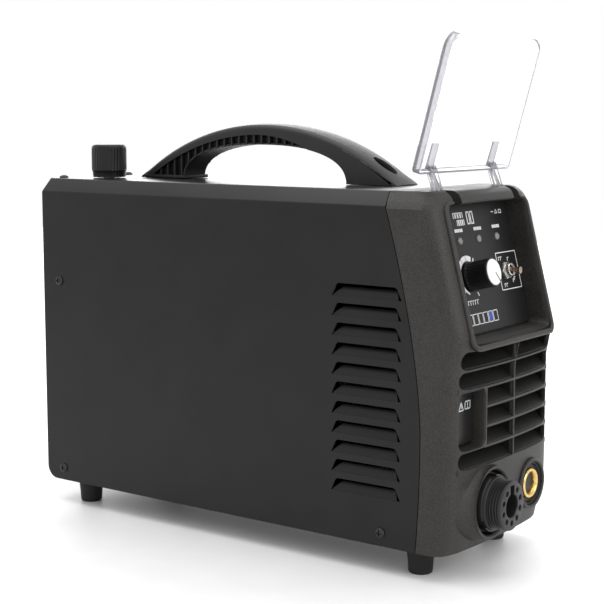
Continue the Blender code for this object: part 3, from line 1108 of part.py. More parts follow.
def fan_rotor():
    front, rear = FAN_FRONT_Y + 0.0045, FAN_REAR_Y - 0.003
    rotor = turned("fan_rotor", (0, 0, FAN_Z), (0, 1, 0),
                   [(0, front), (HUB_R, front), (HUB_R, rear - 0.001), (HUB_R - 0.001, rear), (0, rear)],
                   BLACK_PLASTIC, 28)
    middle = (front + rear) / 2
    for index in range(FAN_BLADES):
        blade = bmesh.new()
        corners = []
        for radius, pitch, chord in ((HUB_R - 0.001, 38, 0.016), (ROTOR_R, 24, 0.024)):
            tilt = math.radians(pitch)
            for forward in (-1, 1):
                for thick in (-1, 1):
                    swing = forward * chord / 2 * math.cos(tilt) - thick * 0.0007 * math.sin(tilt)
                    along = forward * chord / 2 * math.sin(tilt) + thick * 0.0007 * math.cos(tilt)
                    angle = 2 * math.pi * index / FAN_BLADES + swing / radius
                    corners.append(blade.verts.new((radius * math.cos(angle), middle + along,
                                                    FAN_Z + radius * math.sin(angle))))
        for face in ((0, 1, 3, 2), (4, 5, 7, 6), (0, 1, 5, 4), (2, 3, 7, 6), (0, 2, 6, 4), (1, 3, 7, 5)):
            blade.faces.new([corners[corner] for corner in face])
        join(rotor, keep(f"fan_blade_{index}", blade))


fan_rotor()


def fan_guard():
    seat_y = REAR_Y + GAP
    wire = 0.0010
    out = seat_y + GUARD_STANDOFF - 2 * wire
    rings = []
    hub = turned("fan_guard", (0, 0, FAN_Z), (0, 1, 0),
                 [(0, out), (0.007, out), (0.007, out + wire * 2), (0, out + wire * 2)], STEEL, 28)
    for index, radius in enumerate((0.016, 0.025, 0.034)):
        rings.append(turned(f"guard_ring_{index}", (0, 0, FAN_Z), (0, 1, 0),
                            [(radius - wire, out), (radius + wire, out), (radius + wire, out + 2 * wire),
                             (radius - wire, out + 2 * wire)], steps=36, ring=True))
    join(hub, *rings)
    reach = FAN_SIZE / 2 - 0.005
    for index in range(4):
        angle = math.pi / 4 + math.pi / 2 * index
        tip = Vector((math.cos(angle), 0, math.sin(angle)))
        arm = Vector((0, out + wire, FAN_Z))
        far = arm + tip * reach * math.sqrt(2)
        join(hub, rod(f"guard_arm_{index}", arm + tip * 0.003, far, wire * 0.9, steps=8),
             rod(f"guard_foot_{index}", (far.x, seat_y, far.z), (far.x, out + 2 * wire, far.z), 0.0035,
                 steps=12))


fan_guard()

# ---------------------------------------------------------------- power electronics
BOARD_X = 0.030
power_board = box("power_board", (BOARD_X, FRONT_Y + 0.088, FLOOR_Z + 0.010),
                  (BOARD_X + 0.0016, FAN_FRONT_Y - 0.035, FLOOR_Z + 0.130), BOARD_GREEN)
SINK_FOOT, SINK_TOP = FLOOR_Z + 0.020, FLOOR_Z + 0.092
FIN_PITCH = 0.009
sink = [(BOARD_X - GAP, SINK_FOOT), (BOARD_X - GAP, SINK_TOP), (BOARD_X - 0.006, SINK_TOP)]
fin_top = SINK_TOP
while fin_top - FIN_PITCH > SINK_FOOT:
    sink += [(BOARD_X - 0.006, fin_top), (BOARD_X - 0.042, fin_top), (BOARD_X - 0.042, fin_top - 0.002),
             (BOARD_X - 0.006, fin_top - 0.002)]
    fin_top -= FIN_PITCH
sink += [(BOARD_X - 0.006, SINK_FOOT)]
sink = [point for index, point in enumerate(sink) if point != sink[index - 1]]
prism("heat_sink", sink, "Y", FRONT_Y + 0.130, FRONT_Y + 0.250, ALUMINIUM)
for number, y in enumerate((FRONT_Y + 0.210, FRONT_Y + 0.245)):
    turned(f"capacitor_{number + 1}", (BOARD_X + 0.0016 + GAP, y, FLOOR_Z + 0.070), (1, 0, 0),
           [(0, 0), (0.012, 0), (0.0125, 0.001), (0.0125, 0.026), (0.0115, 0.028), (0, 0.028)],
           BLACK_PLASTIC, 24)
CORE_Y = FRONT_Y + 0.085
transformer = box("main_transformer", (-0.020, CORE_Y - 0.022, FLOOR_Z),
                  (0.024, CORE_Y + 0.022, FLOOR_Z + 0.012), STEEL)
join(transformer,
     box("core_top", (-0.020, CORE_Y - 0.022, FLOOR_Z + 0.034), (0.024, CORE_Y + 0.022, FLOOR_Z + 0.046)),
     box("core_left", (-0.020, CORE_Y - 0.012, FLOOR_Z + 0.001), (-0.011, CORE_Y + 0.012, FLOOR_Z + 0.045)),
     box("core_right", (0.015, CORE_Y - 0.012, FLOOR_Z + 0.001), (0.024, CORE_Y + 0.012, FLOOR_Z + 0.045)),
     rod("core_coil", (0.002, CORE_Y, FLOOR_Z + 0.010), (0.002, CORE_Y, FLOOR_Z + 0.036), 0.0175, steps=28))
CHOKE_X = BOARD_X + 0.0175
turned("output_choke", (CHOKE_X, FRONT_Y + 0.130, FLOOR_Z + 0.026), (1, 0, 0),
       [(0.0165 + 0.0085 * math.cos(2 * math.pi * step / 10), 0.0085 * math.sin(2 * math.pi * step / 10))
        for step in range(10)], COPPER, 24, ring=True)

# ---------------------------------------------------------------- mains switch and cable gland
BEZEL = 0.002
ROCKER_HALF = 0.0065
ROCKER_REACH = 0.0100
switch = box("power_switch_body", (SWITCH_X - SWITCH_WIDTH / 2, REAR_Y - 0.022, SWITCH_Z - SWITCH_HEIGHT / 2),
             (SWITCH_X + SWITCH_WIDTH / 2, REAR_Y + 0.001, SWITCH_Z + SWITCH_HEIGHT / 2), BLACK_PLASTIC)
join(switch, box("switch_bezel", (SWITCH_X - SWITCH_WIDTH / 2 - 0.002, PANEL_OUT,
                                  SWITCH_Z - SWITCH_HEIGHT / 2 - 0.002),
                 (SWITCH_X + SWITCH_WIDTH / 2 + 0.002, PANEL_OUT + BEZEL,
                  SWITCH_Z + SWITCH_HEIGHT / 2 + 0.002)))
cut(switch, box("switch_well", (SWITCH_X - ROCKER_HALF - 2 * GAP, REAR_Y - 0.006,
                                SWITCH_Z - ROCKER_REACH - 0.0012),
                (SWITCH_X + ROCKER_HALF + 2 * GAP, REAR_Y + 0.02, SWITCH_Z + ROCKER_REACH + 0.0012)))
ROCKER_SWING = math.radians(16)
rocker = prism("power_rocker", [(0.0036, -ROCKER_REACH), (0.0020, 0), (0.0036, ROCKER_REACH),
                                (-0.0015, ROCKER_REACH),
                                (-0.0030, 0), (-0.0015, -ROCKER_REACH)], "X", -ROCKER_HALF, ROCKER_HALF,
                                BLACK_PLASTIC)
rocker.location = (SWITCH_X, REAR_Y, SWITCH_Z)
rocker.rotation_euler = (-ROCKER_SWING / 2, 0, 0)
turned("cable_gland", (SWITCH_X, 0, GLAND_Z), (0, 1, 0),
       [(0.0045, PANEL_IN - 0.010), (GLAND_R, PANEL_IN - 0.010), (GLAND_R, PANEL_OUT), (0.0125, PANEL_OUT),
        (0.0125, PANEL_OUT + 0.006), (0.0105, PANEL_OUT + 0.007), (0.0105, PANEL_OUT + 0.014),
        (0.0075, PANEL_OUT + 0.018), (0.0045, PANEL_OUT + 0.018)], BLACK_PLASTIC, 24, ring=True)
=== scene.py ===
import math

import bpy
from mathutils import Matrix, Vector


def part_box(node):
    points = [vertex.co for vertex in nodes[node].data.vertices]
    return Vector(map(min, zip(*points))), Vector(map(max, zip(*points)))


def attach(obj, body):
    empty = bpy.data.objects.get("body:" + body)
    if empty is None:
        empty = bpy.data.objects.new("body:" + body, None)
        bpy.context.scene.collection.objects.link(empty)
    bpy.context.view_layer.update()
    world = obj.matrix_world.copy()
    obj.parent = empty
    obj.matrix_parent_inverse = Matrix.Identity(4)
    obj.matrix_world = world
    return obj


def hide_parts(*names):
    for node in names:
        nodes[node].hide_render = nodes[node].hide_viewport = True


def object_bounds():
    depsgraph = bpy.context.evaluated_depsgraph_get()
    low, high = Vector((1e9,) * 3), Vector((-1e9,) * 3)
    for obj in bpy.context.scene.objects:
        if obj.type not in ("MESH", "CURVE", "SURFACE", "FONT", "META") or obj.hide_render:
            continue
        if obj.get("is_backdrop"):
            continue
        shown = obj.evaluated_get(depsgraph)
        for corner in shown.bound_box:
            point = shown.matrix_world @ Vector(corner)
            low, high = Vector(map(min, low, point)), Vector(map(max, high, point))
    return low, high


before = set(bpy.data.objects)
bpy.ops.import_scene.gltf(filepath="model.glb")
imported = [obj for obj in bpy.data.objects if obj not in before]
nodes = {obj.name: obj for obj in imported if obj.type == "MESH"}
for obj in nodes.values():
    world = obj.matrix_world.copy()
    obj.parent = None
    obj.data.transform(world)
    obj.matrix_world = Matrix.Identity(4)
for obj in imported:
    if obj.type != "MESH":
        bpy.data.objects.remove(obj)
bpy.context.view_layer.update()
scene = bpy.context.scene


# ---------------------------------------------------------------- folded steel cover
# One sheet of 1.2 mm steel folded over the top and both sides, with a soft bend at each long edge.
# Eleven louvres a side are pressed inwards from the sheet, and the whole is powder coated satin black.
def choose(*pieces):
    """Select only these pieces, in object mode, the first one active."""
    if bpy.context.object and bpy.context.object.mode != "OBJECT":
        bpy.ops.object.mode_set(mode="OBJECT")
    bpy.ops.object.select_all(action="DESELECT")
    for piece in pieces:
        piece.select_set(True)
    bpy.context.view_layer.objects.active = pieces[0]


def from_faces(name, points, faces):
    mesh = bpy.data.meshes.new(name)
    mesh.from_pydata([tuple(point) for point in points], [], faces)
    piece = bpy.data.objects.new(name, mesh)
    scene.collection.objects.link(piece)
    return piece


def close_up(piece, angle=34):
    """Merge doubles, point the faces outwards and shade smooth up to the given angle."""
    choose(piece)
    bpy.ops.object.mode_set(mode="EDIT")
    bpy.ops.mesh.select_all(action="SELECT")
    bpy.ops.mesh.remove_doubles(threshold=1e-6)
    bpy.ops.mesh.normals_make_consistent(inside=False)
    bpy.ops.object.mode_set(mode="OBJECT")
    bpy.ops.object.shade_smooth_by_angle(angle=math.radians(angle))
    return piece


def loft(name, rows, ends=True):
    """Join closed rows of points, each as long as the next, and close both ends."""
    count = len(rows[0])
    points = [point for row in rows for point in row]
    faces = []
    for step in range(len(rows) - 1):
        for index in range(count):
            after = (index + 1) % count
            faces.append([step * count + index, step * count + after,
                          (step + 1) * count + after, (step + 1) * count + index])
    if ends:
        faces.append(list(range(count))[::-1])
        faces.append([(len(rows) - 1) * count + index for index in range(count)])
    return close_up(from_faces(name, points, faces))


def prism(name, outline, axis, low, high):
    """Extrude a closed outline along X (y, z points), Y (x, z points) or Z (x, y points)."""
    place = {"X": lambda a, b, c: (c, a, b), "Y": lambda a, b, c: (a, c, b), "Z": lambda a, b,
             c: (a, b, c)}[axis]
    return loft(name, [[place(a, b, along) for a, b in outline] for along in (low, high)])


def arc(centre, radius, start, end, steps):
    """Points on an arc, with angles in degrees."""
    return [(centre[0] + radius * math.cos(math.radians(start + (end - start) * step / steps)),
             centre[1] + radius * math.sin(math.radians(start + (end - start) * step / steps)))
            for step in range(steps + 1)]


def combine(piece, other, operation="DIFFERENCE"):
    """Cut or join another shape, which is used up."""
    choose(piece)
    step = piece.modifiers.new("shape", "BOOLEAN")
    step.operation = operation
    step.object = other
    step.solver = "EXACT"
    bpy.ops.object.modifier_apply(modifier=step.name)
    bpy.data.objects.remove(other, do_unlink=True)
    return piece


def gather(name, pieces):
    choose(*pieces)
    bpy.ops.object.join()
    pieces[0].name = name
    return pieces[0]


def soften(piece, width, segments=2, angle=35):
    """Round the edges sharper than the given angle."""
    choose(piece)
    edge = piece.modifiers.new("soft_edge", "BEVEL")
    edge.width = width
    edge.segments = segments
    edge.limit_method = "ANGLE"
    edge.angle_limit = math.radians(angle)
    edge.harden_normals = False
    bpy.ops.object.modifier_apply(modifier=edge.name)
    return close_up(piece, 40)


def fit(piece, node_names, body, slot, *materials):
    """Dress a finished piece, let it ride on its body and stand for its CAD nodes."""
    piece.data.materials.clear()
    for material in materials:
        piece.data.materials.append(material)
    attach(piece, body)
    if node_names:
        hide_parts(*node_names)
    return piece


cover_low, cover_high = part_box("cover_shell")
HALF, TOP, FOOT, REAR = cover_high.x, cover_high.z, cover_low.z, cover_high.y
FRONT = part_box("earth_socket_brass")[0].y
SHEET = 0.0012
CHAMFER = 0.010
SEAM = FRONT + 0.0282
SEAM_STEPS = 16
BULGE = FOOT + 0.0765


def seam_curve(z):
    if z > BULGE:
        return SEAM + 0.031 * ((z - BULGE) / (TOP - BULGE)) ** 1.6
    return SEAM + 0.003 * ((BULGE - z) / (BULGE - FOOT)) ** 2


def case_section(inset, foot, bend=0.0030, steps=5):
    """Section of the case as (x, z): straight sides, 45 degree top edges and rounded bends."""
    side = HALF - inset
    diagonal = HALF + TOP - CHAMFER - inset * math.sqrt(2)
    corners = [(side, foot), (side, diagonal - side), (diagonal - (TOP - inset), TOP - inset)]
    radius = max(bend - inset, 0.0006)
    half = [corners[0]]
    for corner, start in ((corners[1], 0), (corners[2], 45)):
        turn = math.radians(start)
        back = Vector((-math.sin(turn), math.cos(turn)))
        tangent = Vector(corner) - back * radius * math.tan(math.radians(22.5))
        centre = tangent - Vector((math.cos(turn), math.sin(turn))) * radius
        half += arc(centre, radius, start, start + 45, steps)
    return half + [(-x, z) for x, z in reversed(half)]


LOUVRES = 11
LOUVRE_PITCH = 0.0132
LOUVRE_TOP = TOP - 0.0615
LOUVRE_HEIGHT = 0.0085
LOUVRE_REAR = FRONT + 0.0938
LOUVRE_WIDTH = 0.0465
LOUVRE_SPLAY = 0.0042


def louvre_flap(side, top, thickness=0.0010, across=14, up=8):
    """The tongue of sheet under one louvre opening, curling inwards as it rises."""
    foot = top - LOUVRE_HEIGHT
    skins = []
    for depth in (0.0, thickness):
        skin = []
        for row in range(up + 1):
            share = row / up
            z = foot - 0.0022 + (LOUVRE_HEIGHT * 0.72 + 0.0022) * share
            inward = 0.00015 + 0.0042 * max(share - 0.12, 0) ** 1.5
            margin = 0.0004 + (0.0046 + LOUVRE_SPLAY) * max(share - 0.20, 0) ** 1.2
            for column in range(across + 1):
                along = column / across
                y = LOUVRE_REAR + LOUVRE_SPLAY - margin
                y -= (LOUVRE_WIDTH + 2 * LOUVRE_SPLAY - margin - margin * 0.45 - 0.0022) * along
                skin.append((side * (HALF - inward - depth), y, z))
        skins.append(skin)
    count = (up + 1) * (across + 1)
    faces = []
    for row in range(up):
        for column in range(across):
            a = row * (across + 1) + column
            quad = [a, a + 1, a + across + 2, a + across + 1]
            faces += [quad, [index + count for index in reversed(quad)]]
    rim = [column for column in range(across + 1)]
    rim += [row * (across + 1) + across for row in range(1, up + 1)]
    rim += [up * (across + 1) + column for column in range(across - 1, -1, -1)]
    rim += [row * (across + 1) for row in range(up - 1, 0, -1)]
    for index, corner in enumerate(rim):
        after = rim[(index + 1) % len(rim)]
        faces.append([corner, corner + count, after + count, after])
    return close_up(from_faces("louvre_flap", skins[0] + skins[1], faces))


def cover():
    outer, inner = case_section(0, FOOT), case_section(SHEET, FOOT)
    shell = prism("case_cover", outer + inner[::-1], "Y", SEAM - 0.004, REAR)
    edge = [(SEAM - 0.02, TOP + 0.01), (SEAM - 0.02, FOOT - 0.01), (seam_curve(FOOT) + 0.0003, FOOT - 0.01)]
    levels = 48
    edge += [(seam_curve(FOOT + (TOP - FOOT) * step / levels) + 0.0003, FOOT + (TOP - FOOT) * step / levels)
             for step in range(levels + 1)]
    edge.append((seam_curve(TOP) + 0.0003, TOP + 0.01))
    corner = arc((REAR - 0.010, FOOT + 0.010), 0.010, 0, -90, 12)
    heel = [(REAR + 0.002, FOOT - 0.002), (REAR + 0.002, FOOT + 0.010)] + corner + [(REAR - 0.010,
                                                                                     FOOT - 0.002)]
    cutters = [prism("front_trim", edge, "X", -HALF - 0.01, HALF + 0.01),
               prism("heel_trim", heel, "X", -0.1, 0.1)]
    for index in range(LOUVRES):
        top = LOUVRE_TOP - LOUVRE_PITCH * index
        foot = top - LOUVRE_HEIGHT
        rear, front = LOUVRE_REAR, LOUVRE_REAR - LOUVRE_WIDTH
        outline = [(rear + LOUVRE_SPLAY, foot), (rear + LOUVRE_SPLAY * 0.15, top - 0.0010),
                   (rear - 0.0012, top),
                   (front + 0.0012, top), (front - LOUVRE_SPLAY * 0.15, top - 0.0010),
                   (front - LOUVRE_SPLAY, foot)]
        cutters.append(prism("louvre_slot", outline, "X", -HALF - 0.01, HALF + 0.01))
    for cutter in cutters:
        combine(shell, cutter)
    close_up(shell)
    flaps = [louvre_flap(side, LOUVRE_TOP - LOUVRE_PITCH * index) for index in range(LOUVRES) for side in (-1, 1)]
    return gather("case_cover", [shell] + flaps)


def new_material(name):
    made = bpy.data.materials.new(name)
    made.use_nodes = True
    return made, made.node_tree, made.node_tree.nodes["Principled BSDF"]


def node(tree, kind, **values):
    """Add a shader node and set its inputs by name."""
    made = tree.nodes.new(kind)
    for key, value in values.items():
        if key in made.inputs:
            made.inputs[key].default_value = value
        else:
            setattr(made, key, value)
    return made


def surface_group():
    """Fine surface: grain height, a slow mottle mask and a roughness that both of them disturb."""
    tree = bpy.data.node_groups.new("fine_surface", "ShaderNodeTree")
    for name, kind, value in (("Scale", "NodeSocketFloat", 900.0), ("Detail", "NodeSocketFloat", 4.0),
                              ("Roughness", "NodeSocketFloat", 0.4), ("Spread", "NodeSocketFloat", 0.08)):
        socket = tree.interface.new_socket(name=name, in_out="INPUT", socket_type=kind)
        socket.default_value = value
    for name in ("Height", "Mottle", "Roughness"):
        tree.interface.new_socket(name=name, in_out="OUTPUT", socket_type="NodeSocketFloat")
    inside, outside = tree.nodes.new("NodeGroupInput"), tree.nodes.new("NodeGroupOutput")
    place = tree.nodes.new("ShaderNodeTexCoord")
    grain = node(tree, "ShaderNodeTexNoise")
    slow = node(tree, "ShaderNodeTexNoise", Scale=34.0, Detail=5.0)
    link = tree.links.new
    link(place.outputs["Object"], grain.inputs["Vector"])
    link(place.outputs["Object"], slow.inputs["Vector"])
    link(inside.outputs["Scale"], grain.inputs["Scale"])
    link(inside.outputs["Detail"], grain.inputs["Detail"])
    link(grain.outputs["Fac"], outside.inputs["Height"])
    link(slow.outputs["Fac"], outside.inputs["Mottle"])
    both = node(tree, "ShaderNodeMath", operation="ADD")
    link(grain.outputs["Fac"], both.inputs[0])
    link(slow.outputs["Fac"], both.inputs[1])
    centred = node(tree, "ShaderNodeMath", operation="SUBTRACT")
    centred.inputs[1].default_value = 1.0
    link(both.outputs[0], centred.inputs[0])
    spread = node(tree, "ShaderNodeMath", operation="MULTIPLY")
    link(centred.outputs[0], spread.inputs[0])
    link(inside.outputs["Spread"], spread.inputs[1])
    total = node(tree, "ShaderNodeMath", operation="ADD")
    link(spread.outputs[0], total.inputs[0])
    link(inside.outputs["Roughness"], total.inputs[1])
    link(total.outputs[0], outside.inputs["Roughness"])
    return tree


FINE_SURFACE = surface_group()


def finish(name, dark, light, roughness, spread, grain, depth, metallic=0.0, detail=4.0, strength=0.5,
           gloss=0.5,
           speck=0.0):
    """A material whose colour drifts between two shades over a fine grained surface."""
    made, tree, shader = new_material(name)
    fine = tree.nodes.new("ShaderNodeGroup")
    fine.node_tree = FINE_SURFACE
    fine.inputs["Scale"].default_value = grain
    fine.inputs["Detail"].default_value = detail
    fine.inputs["Roughness"].default_value = roughness
    fine.inputs["Spread"].default_value = spread
    tint = tree.nodes.new("ShaderNodeValToRGB")
    tint.color_ramp.elements[0].position = 0.35
    tint.color_ramp.elements[1].position = 0.65
    tint.color_ramp.elements[0].color = (*dark, 1)
    tint.color_ramp.elements[1].color = (*light, 1)
    bump = node(tree, "ShaderNodeBump", Strength=strength, Distance=depth)
    link = tree.links.new
    blend = node(tree, "ShaderNodeMix", data_type="FLOAT")
    blend.inputs[0].default_value = speck
    link(fine.outputs["Mottle"], blend.inputs[2])
    link(fine.outputs["Height"], blend.inputs[3])
    link(blend.outputs[0], tint.inputs["Fac"])
    link(tint.outputs["Color"], shader.inputs["Base Color"])
    link(fine.outputs["Roughness"], shader.inputs["Roughness"])
    link(fine.outputs["Height"], bump.inputs["Height"])
    link(bump.outputs["Normal"], shader.inputs["Normal"])
    shader.inputs["Metallic"].default_value = metallic
    shader.inputs["Specular IOR Level"].default_value = gloss
    return made


case_paint = finish("satin_black_powder", (0.0075, 0.0075, 0.0080), (0.0095, 0.0095, 0.0100), 0.30, 0.06,
                    2600, 0.00002,
                    strength=0.25, gloss=0.24)
fit(cover(), ["cover_shell"], "unit", "cover_paint", case_paint)


# ---------------------------------------------------------------- moulded front
# One grey moulding with a fine spark-eroded grain, 3 mm thick, pushed under the edge of the cover.
# Its face leans back around the control recess, bows forward below it, and carries six rows of vents.
NOSE = TOP - 0.093
LEAN = math.radians(14.5)
CORNER = 0.011
TOP_ROUND = 0.0075
BOW = 0.004
WALL = 0.003
RECESS_HALF = HALF - 0.016
RECESS_TOP = TOP - 0.009
RECESS_FOOT = RECESS_TOP - 0.086
RECESS_MID = (RECESS_TOP + RECESS_FOOT) / 2
RECESS_DEPTH = 0.018
VENT_HALF = HALF - 0.008
VENT_ROWS = 6
VENT_PITCH = 0.01315
VENT_HEIGHT = 0.010
VENT_FOOT = FOOT + 0.057
POST_X = 0.006
POCKET_WIDTH = 0.031
torch_low, torch_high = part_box("torch_socket")
earth_low, earth_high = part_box("earth_socket_brass")
TORCH = Vector(((torch_low.x + torch_high.x) / 2, FRONT, (torch_low.z + torch_high.z) / 2))
EARTH = Vector(((earth_low.x + earth_high.x) / 2, FRONT, (earth_low.z + earth_high.z) / 2))
HINGE = Vector((HALF - 0.028, FRONT + 0.0304, TOP - 0.006))
POCKET_FOOT = VENT_FOOT + VENT_PITCH - 0.0008
POCKET_TOP = VENT_FOOT + VENT_PITCH * 3 + VENT_HEIGHT + 0.0008
POCKET_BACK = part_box("label_plate")[1].y + 0.0003


def lip(z):
    return FRONT - 0.0045 + (z - NOSE) * math.tan(LEAN)


def round_off(points, steps=6):
    """Replace each corner (a, b, radius) by an arc that meets both of its sides."""
    out = []
    for index, (a, b, radius) in enumerate(points):
        if radius <= 0 or index in (0, len(points) - 1):
            out.append((a, b))
            continue
        corner = Vector((a, b))
        before = (Vector(points[index - 1][:2]) - corner).normalized()
        after = (Vector(points[index + 1][:2]) - corner).normalized()
        half_angle = before.angle(after) / 2
        reach = radius / math.tan(half_angle)
        centre = corner + (before + after).normalized() * radius / math.sin(half_angle)
        first, last = corner + before * reach - centre, corner + after * reach - centre
        turn = first.angle_signed(last)
        for step in range(steps + 1):
            spot = Vector(first)
            spot.rotate(Matrix.Rotation(-turn * step / steps, 2))
            out.append(tuple(centre + spot))
    return out


def front_profile():
    """Side outline of the front from the bottom edge to the top, as (y, z)."""
    return round_off([(FRONT + 0.007, FOOT, 0), (FRONT, FOOT + 0.032, 0.060), (FRONT, NOSE - 0.024, 0.014),
                      (lip(NOSE), NOSE, 0.012), (lip(TOP), TOP, TOP_ROUND), (lip(TOP) + 0.012, TOP, 0)],
                      10)[:-1]


def profile_at(z):
    line = front_profile()
    for (y_low, z_low), (y_high, z_high) in zip(line, line[1:]):
        if z <= z_high:
            return y_low + (y_high - y_low) * max(z - z_low, 0) / max(z_high - z_low, 1e-9)
    return line[-1][0]


def front_block(name, inset, rear_of, rows=64):
    """Loft of plan outlines from the bottom edge to the top, moved in by inset."""
    low, high = FOOT + inset, TOP - inset
    levels = [low + (high - low) * step / rows for step in range(rows + 1)]
    levels += [high - TOP_ROUND * share for share in (0.75, 0.55, 0.38, 0.24, 0.12, 0.04)]
    levels = sorted(set(round(level, 6) for level in levels if low <= level <= high))
    built = []
    for z in levels:
        half = min(HALF - inset, HALF + TOP - CHAMFER - inset * math.sqrt(2) - z)
        corner = max(CORNER - inset, 0.002)
        front_y = profile_at(z) + inset
        rear = rear_of(z)
        flat = half - corner
        outline = [(-half, rear, z), (-half, (rear + front_y + BOW + corner) / 2, z)]
        outline += [(x, y, z) for x, y in arc((-flat, front_y + BOW + corner), corner, 180, 256, 9)]
        bows = 20
        for step in range(1, bows):
            x = flat * (2 * step / bows - 1)
            outline.append((x, front_y + BOW * (x / half) ** 2, z))
        outline += [(x, y, z) for x, y in arc((flat, front_y + BOW + corner), corner, 284, 360, 9)]
        outline += [(half, (rear + front_y + BOW + corner) / 2, z), (half, rear, z)]
        built.append(outline)
    return loft(name, built)


def block(name, low, high):
    bpy.ops.object.select_all(action="DESELECT")
    bpy.ops.mesh.primitive_cube_add(size=1, location=(Vector(low) + Vector(high)) / 2)
    piece = bpy.context.object
    piece.name = name
    piece.scale = Vector(high) - Vector(low)
    bpy.ops.object.transform_apply(location=True, rotation=True, scale=True)
    return piece


def turned(name, base, direction, profile, steps=48, angle=34):
    """Spin a profile of (radius, distance along the axis) round an axis."""
    turn = Vector((0, 0, 1)).rotation_difference(Vector(direction)).to_matrix().to_4x4()
    place = Matrix.Translation(Vector(base)) @ turn
    rows = []
    for radius, along in profile:
        rows.append([place @ Vector((max(radius, 1e-6) * math.cos(2 * math.pi * step / steps),
                                     max(radius, 1e-6) * math.sin(2 * math.pi * step / steps), along))
                     for step in range(steps)])
    made = loft(name, rows)
    return close_up(made, angle)


def recess_block(name, wall, flare=0.0, reach=0.03, corner=0.0045):
    """The control recess as a solid: leaning floor, rounded corners, and a mouth that flares to the lip."""
    slope = math.tan(LEAN)
    floor_y = lip(RECESS_MID) + BOW * 0.6 + RECESS_DEPTH + wall

    def ring(along, grow):
        half, low, high = RECESS_HALF + grow, RECESS_FOOT - grow, RECESS_TOP + grow
        low -= 0.0010 if grow else 0.0
        radius = corner + grow
        pieces = arc((half - radius, high - radius), radius, 0, 90, 6)
        pieces += arc((-half + radius, high - radius), radius, 90, 180, 6)
        pieces += arc((-half + radius, low + radius), radius, 180, 270, 6)
        pieces += arc((half - radius, low + radius), radius, 270, 360, 6)
        return [(x, floor_y - along + (z - RECESS_MID) * slope, z) for x, z in pieces]

    rows = [ring(0.0, wall)]
    mouth = RECESS_DEPTH + BOW * 0.6 + wall
    rows.append(ring(mouth - 0.0060, wall))
    for share in range(1, 7):
        turn = math.pi / 2 * share / 6
        rows.append(ring(mouth - 0.0060 + 0.0052 * math.sin(turn), wall + flare * (1 - math.cos(turn))))
    rows.append(ring(mouth + reach, wall + flare))
    return loft(name, rows)


def recess_bead(width=0.0038, height=0.0013, steps=8):
    """A rounded bead that frames the recess on the leaning face."""
    slope = math.tan(LEAN)
    half, low, high, radius = RECESS_HALF + 0.0026, RECESS_FOOT - 0.0040, RECESS_TOP + 0.0008, 0.0060
    path = []
    for centre, start in (((half - radius, high - radius), 0), ((-half + radius, high - radius), 90),
                          ((-half + radius, low + radius), 180), ((half - radius, low + radius), 270)):
        for step in range(9):
            turn = math.radians(start + 90 * step / 8)
            path.append((centre[0] + radius * math.cos(turn), centre[1] + radius * math.sin(turn),
                         math.cos(turn), math.sin(turn)))
    rows = []
    for x, z, out_x, out_z in path:
        row = []
        for step in range(steps * 2):
            turn = math.pi * step / steps
            along, rise = math.cos(turn) * width / 2, math.sin(turn)
            rise = rise * height if rise > 0 else rise * 0.0030
            px, pz = x + out_x * along, z + out_z * along
            row.append((px, lip(pz) + BOW * (px / HALF) ** 2 - rise, pz + rise * slope * 0.5))
        rows.append(row)
    rows.append(rows[0])
    return loft("recess_bead", rows, ends=False)


def slot_outline(start, end, foot, height, left, right, radius=0.0044, grow=0.0):
    """A slot outline as (x, z), with either end rounded."""
    start, end, foot, height = start - grow, end + grow, foot - grow, height + 2 * grow
    radius += grow
    line = []
    line += arc((start + radius, foot + radius), radius, 270, 180, 6) if left else [(start, foot)]
    line += arc((start + radius, foot + height - radius), radius, 180, 90,
                6) if left else [(start, foot + height)]
    line += arc((end - radius, foot + height - radius), radius, 90, 0, 6) if right else [(end, foot + height)]
    line += arc((end - radius, foot + radius), radius, 0, -90, 6) if right else [(end, foot)]
    return line


def vent_cutter(index, start, end, left, right):
    """One vent opening: straight inside, with a mouth that widens to the face."""
    foot = VENT_FOOT + VENT_PITCH * index
    rows = []
    for y, grow in ((FRONT + 0.030, 0.0), (FRONT + 0.0035, 0.0), (FRONT + 0.0015, 0.00022),
                    (FRONT + 0.0003, 0.0006),
                    (FRONT - 0.0008, 0.0011), (FRONT - 0.010, 0.0011)):
        rows.append([(x, y + BOW * (x / HALF) ** 2, z)
                     for x, z in slot_outline(start, end, foot, VENT_HEIGHT, left, right, grow=grow)])
    return loft("vent_cutter", rows)


def torch_boss(steps=72):
    """A raised collar round the torch socket whose flank spreads out towards the side of the case."""
    rows = []
    for share in (0.0, 0.04, 0.12, 0.25, 0.4, 0.55, 0.7, 0.82, 0.9, 0.96, 1.0):
        swell = 0.5 + 0.5 * math.cos(math.pi * share)
        row = []
        for step in range(steps):
            turn = 2 * math.pi * step / steps
            wide = 0.0262 + 0.0085 * max(-math.cos(turn), 0) ** 1.5 + 0.003 * max(math.cos(turn), 0)
            reach = 0.0243 + (wide - 0.0243) * swell ** 1.4
            row.append((TORCH.x + reach * math.cos(turn), FRONT + 0.0075 - 0.0111 * share ** 0.9,
                        TORCH.z + min(reach, 0.0265) * math.sin(turn)))
        rows.append(row)
    return loft("torch_boss", rows)


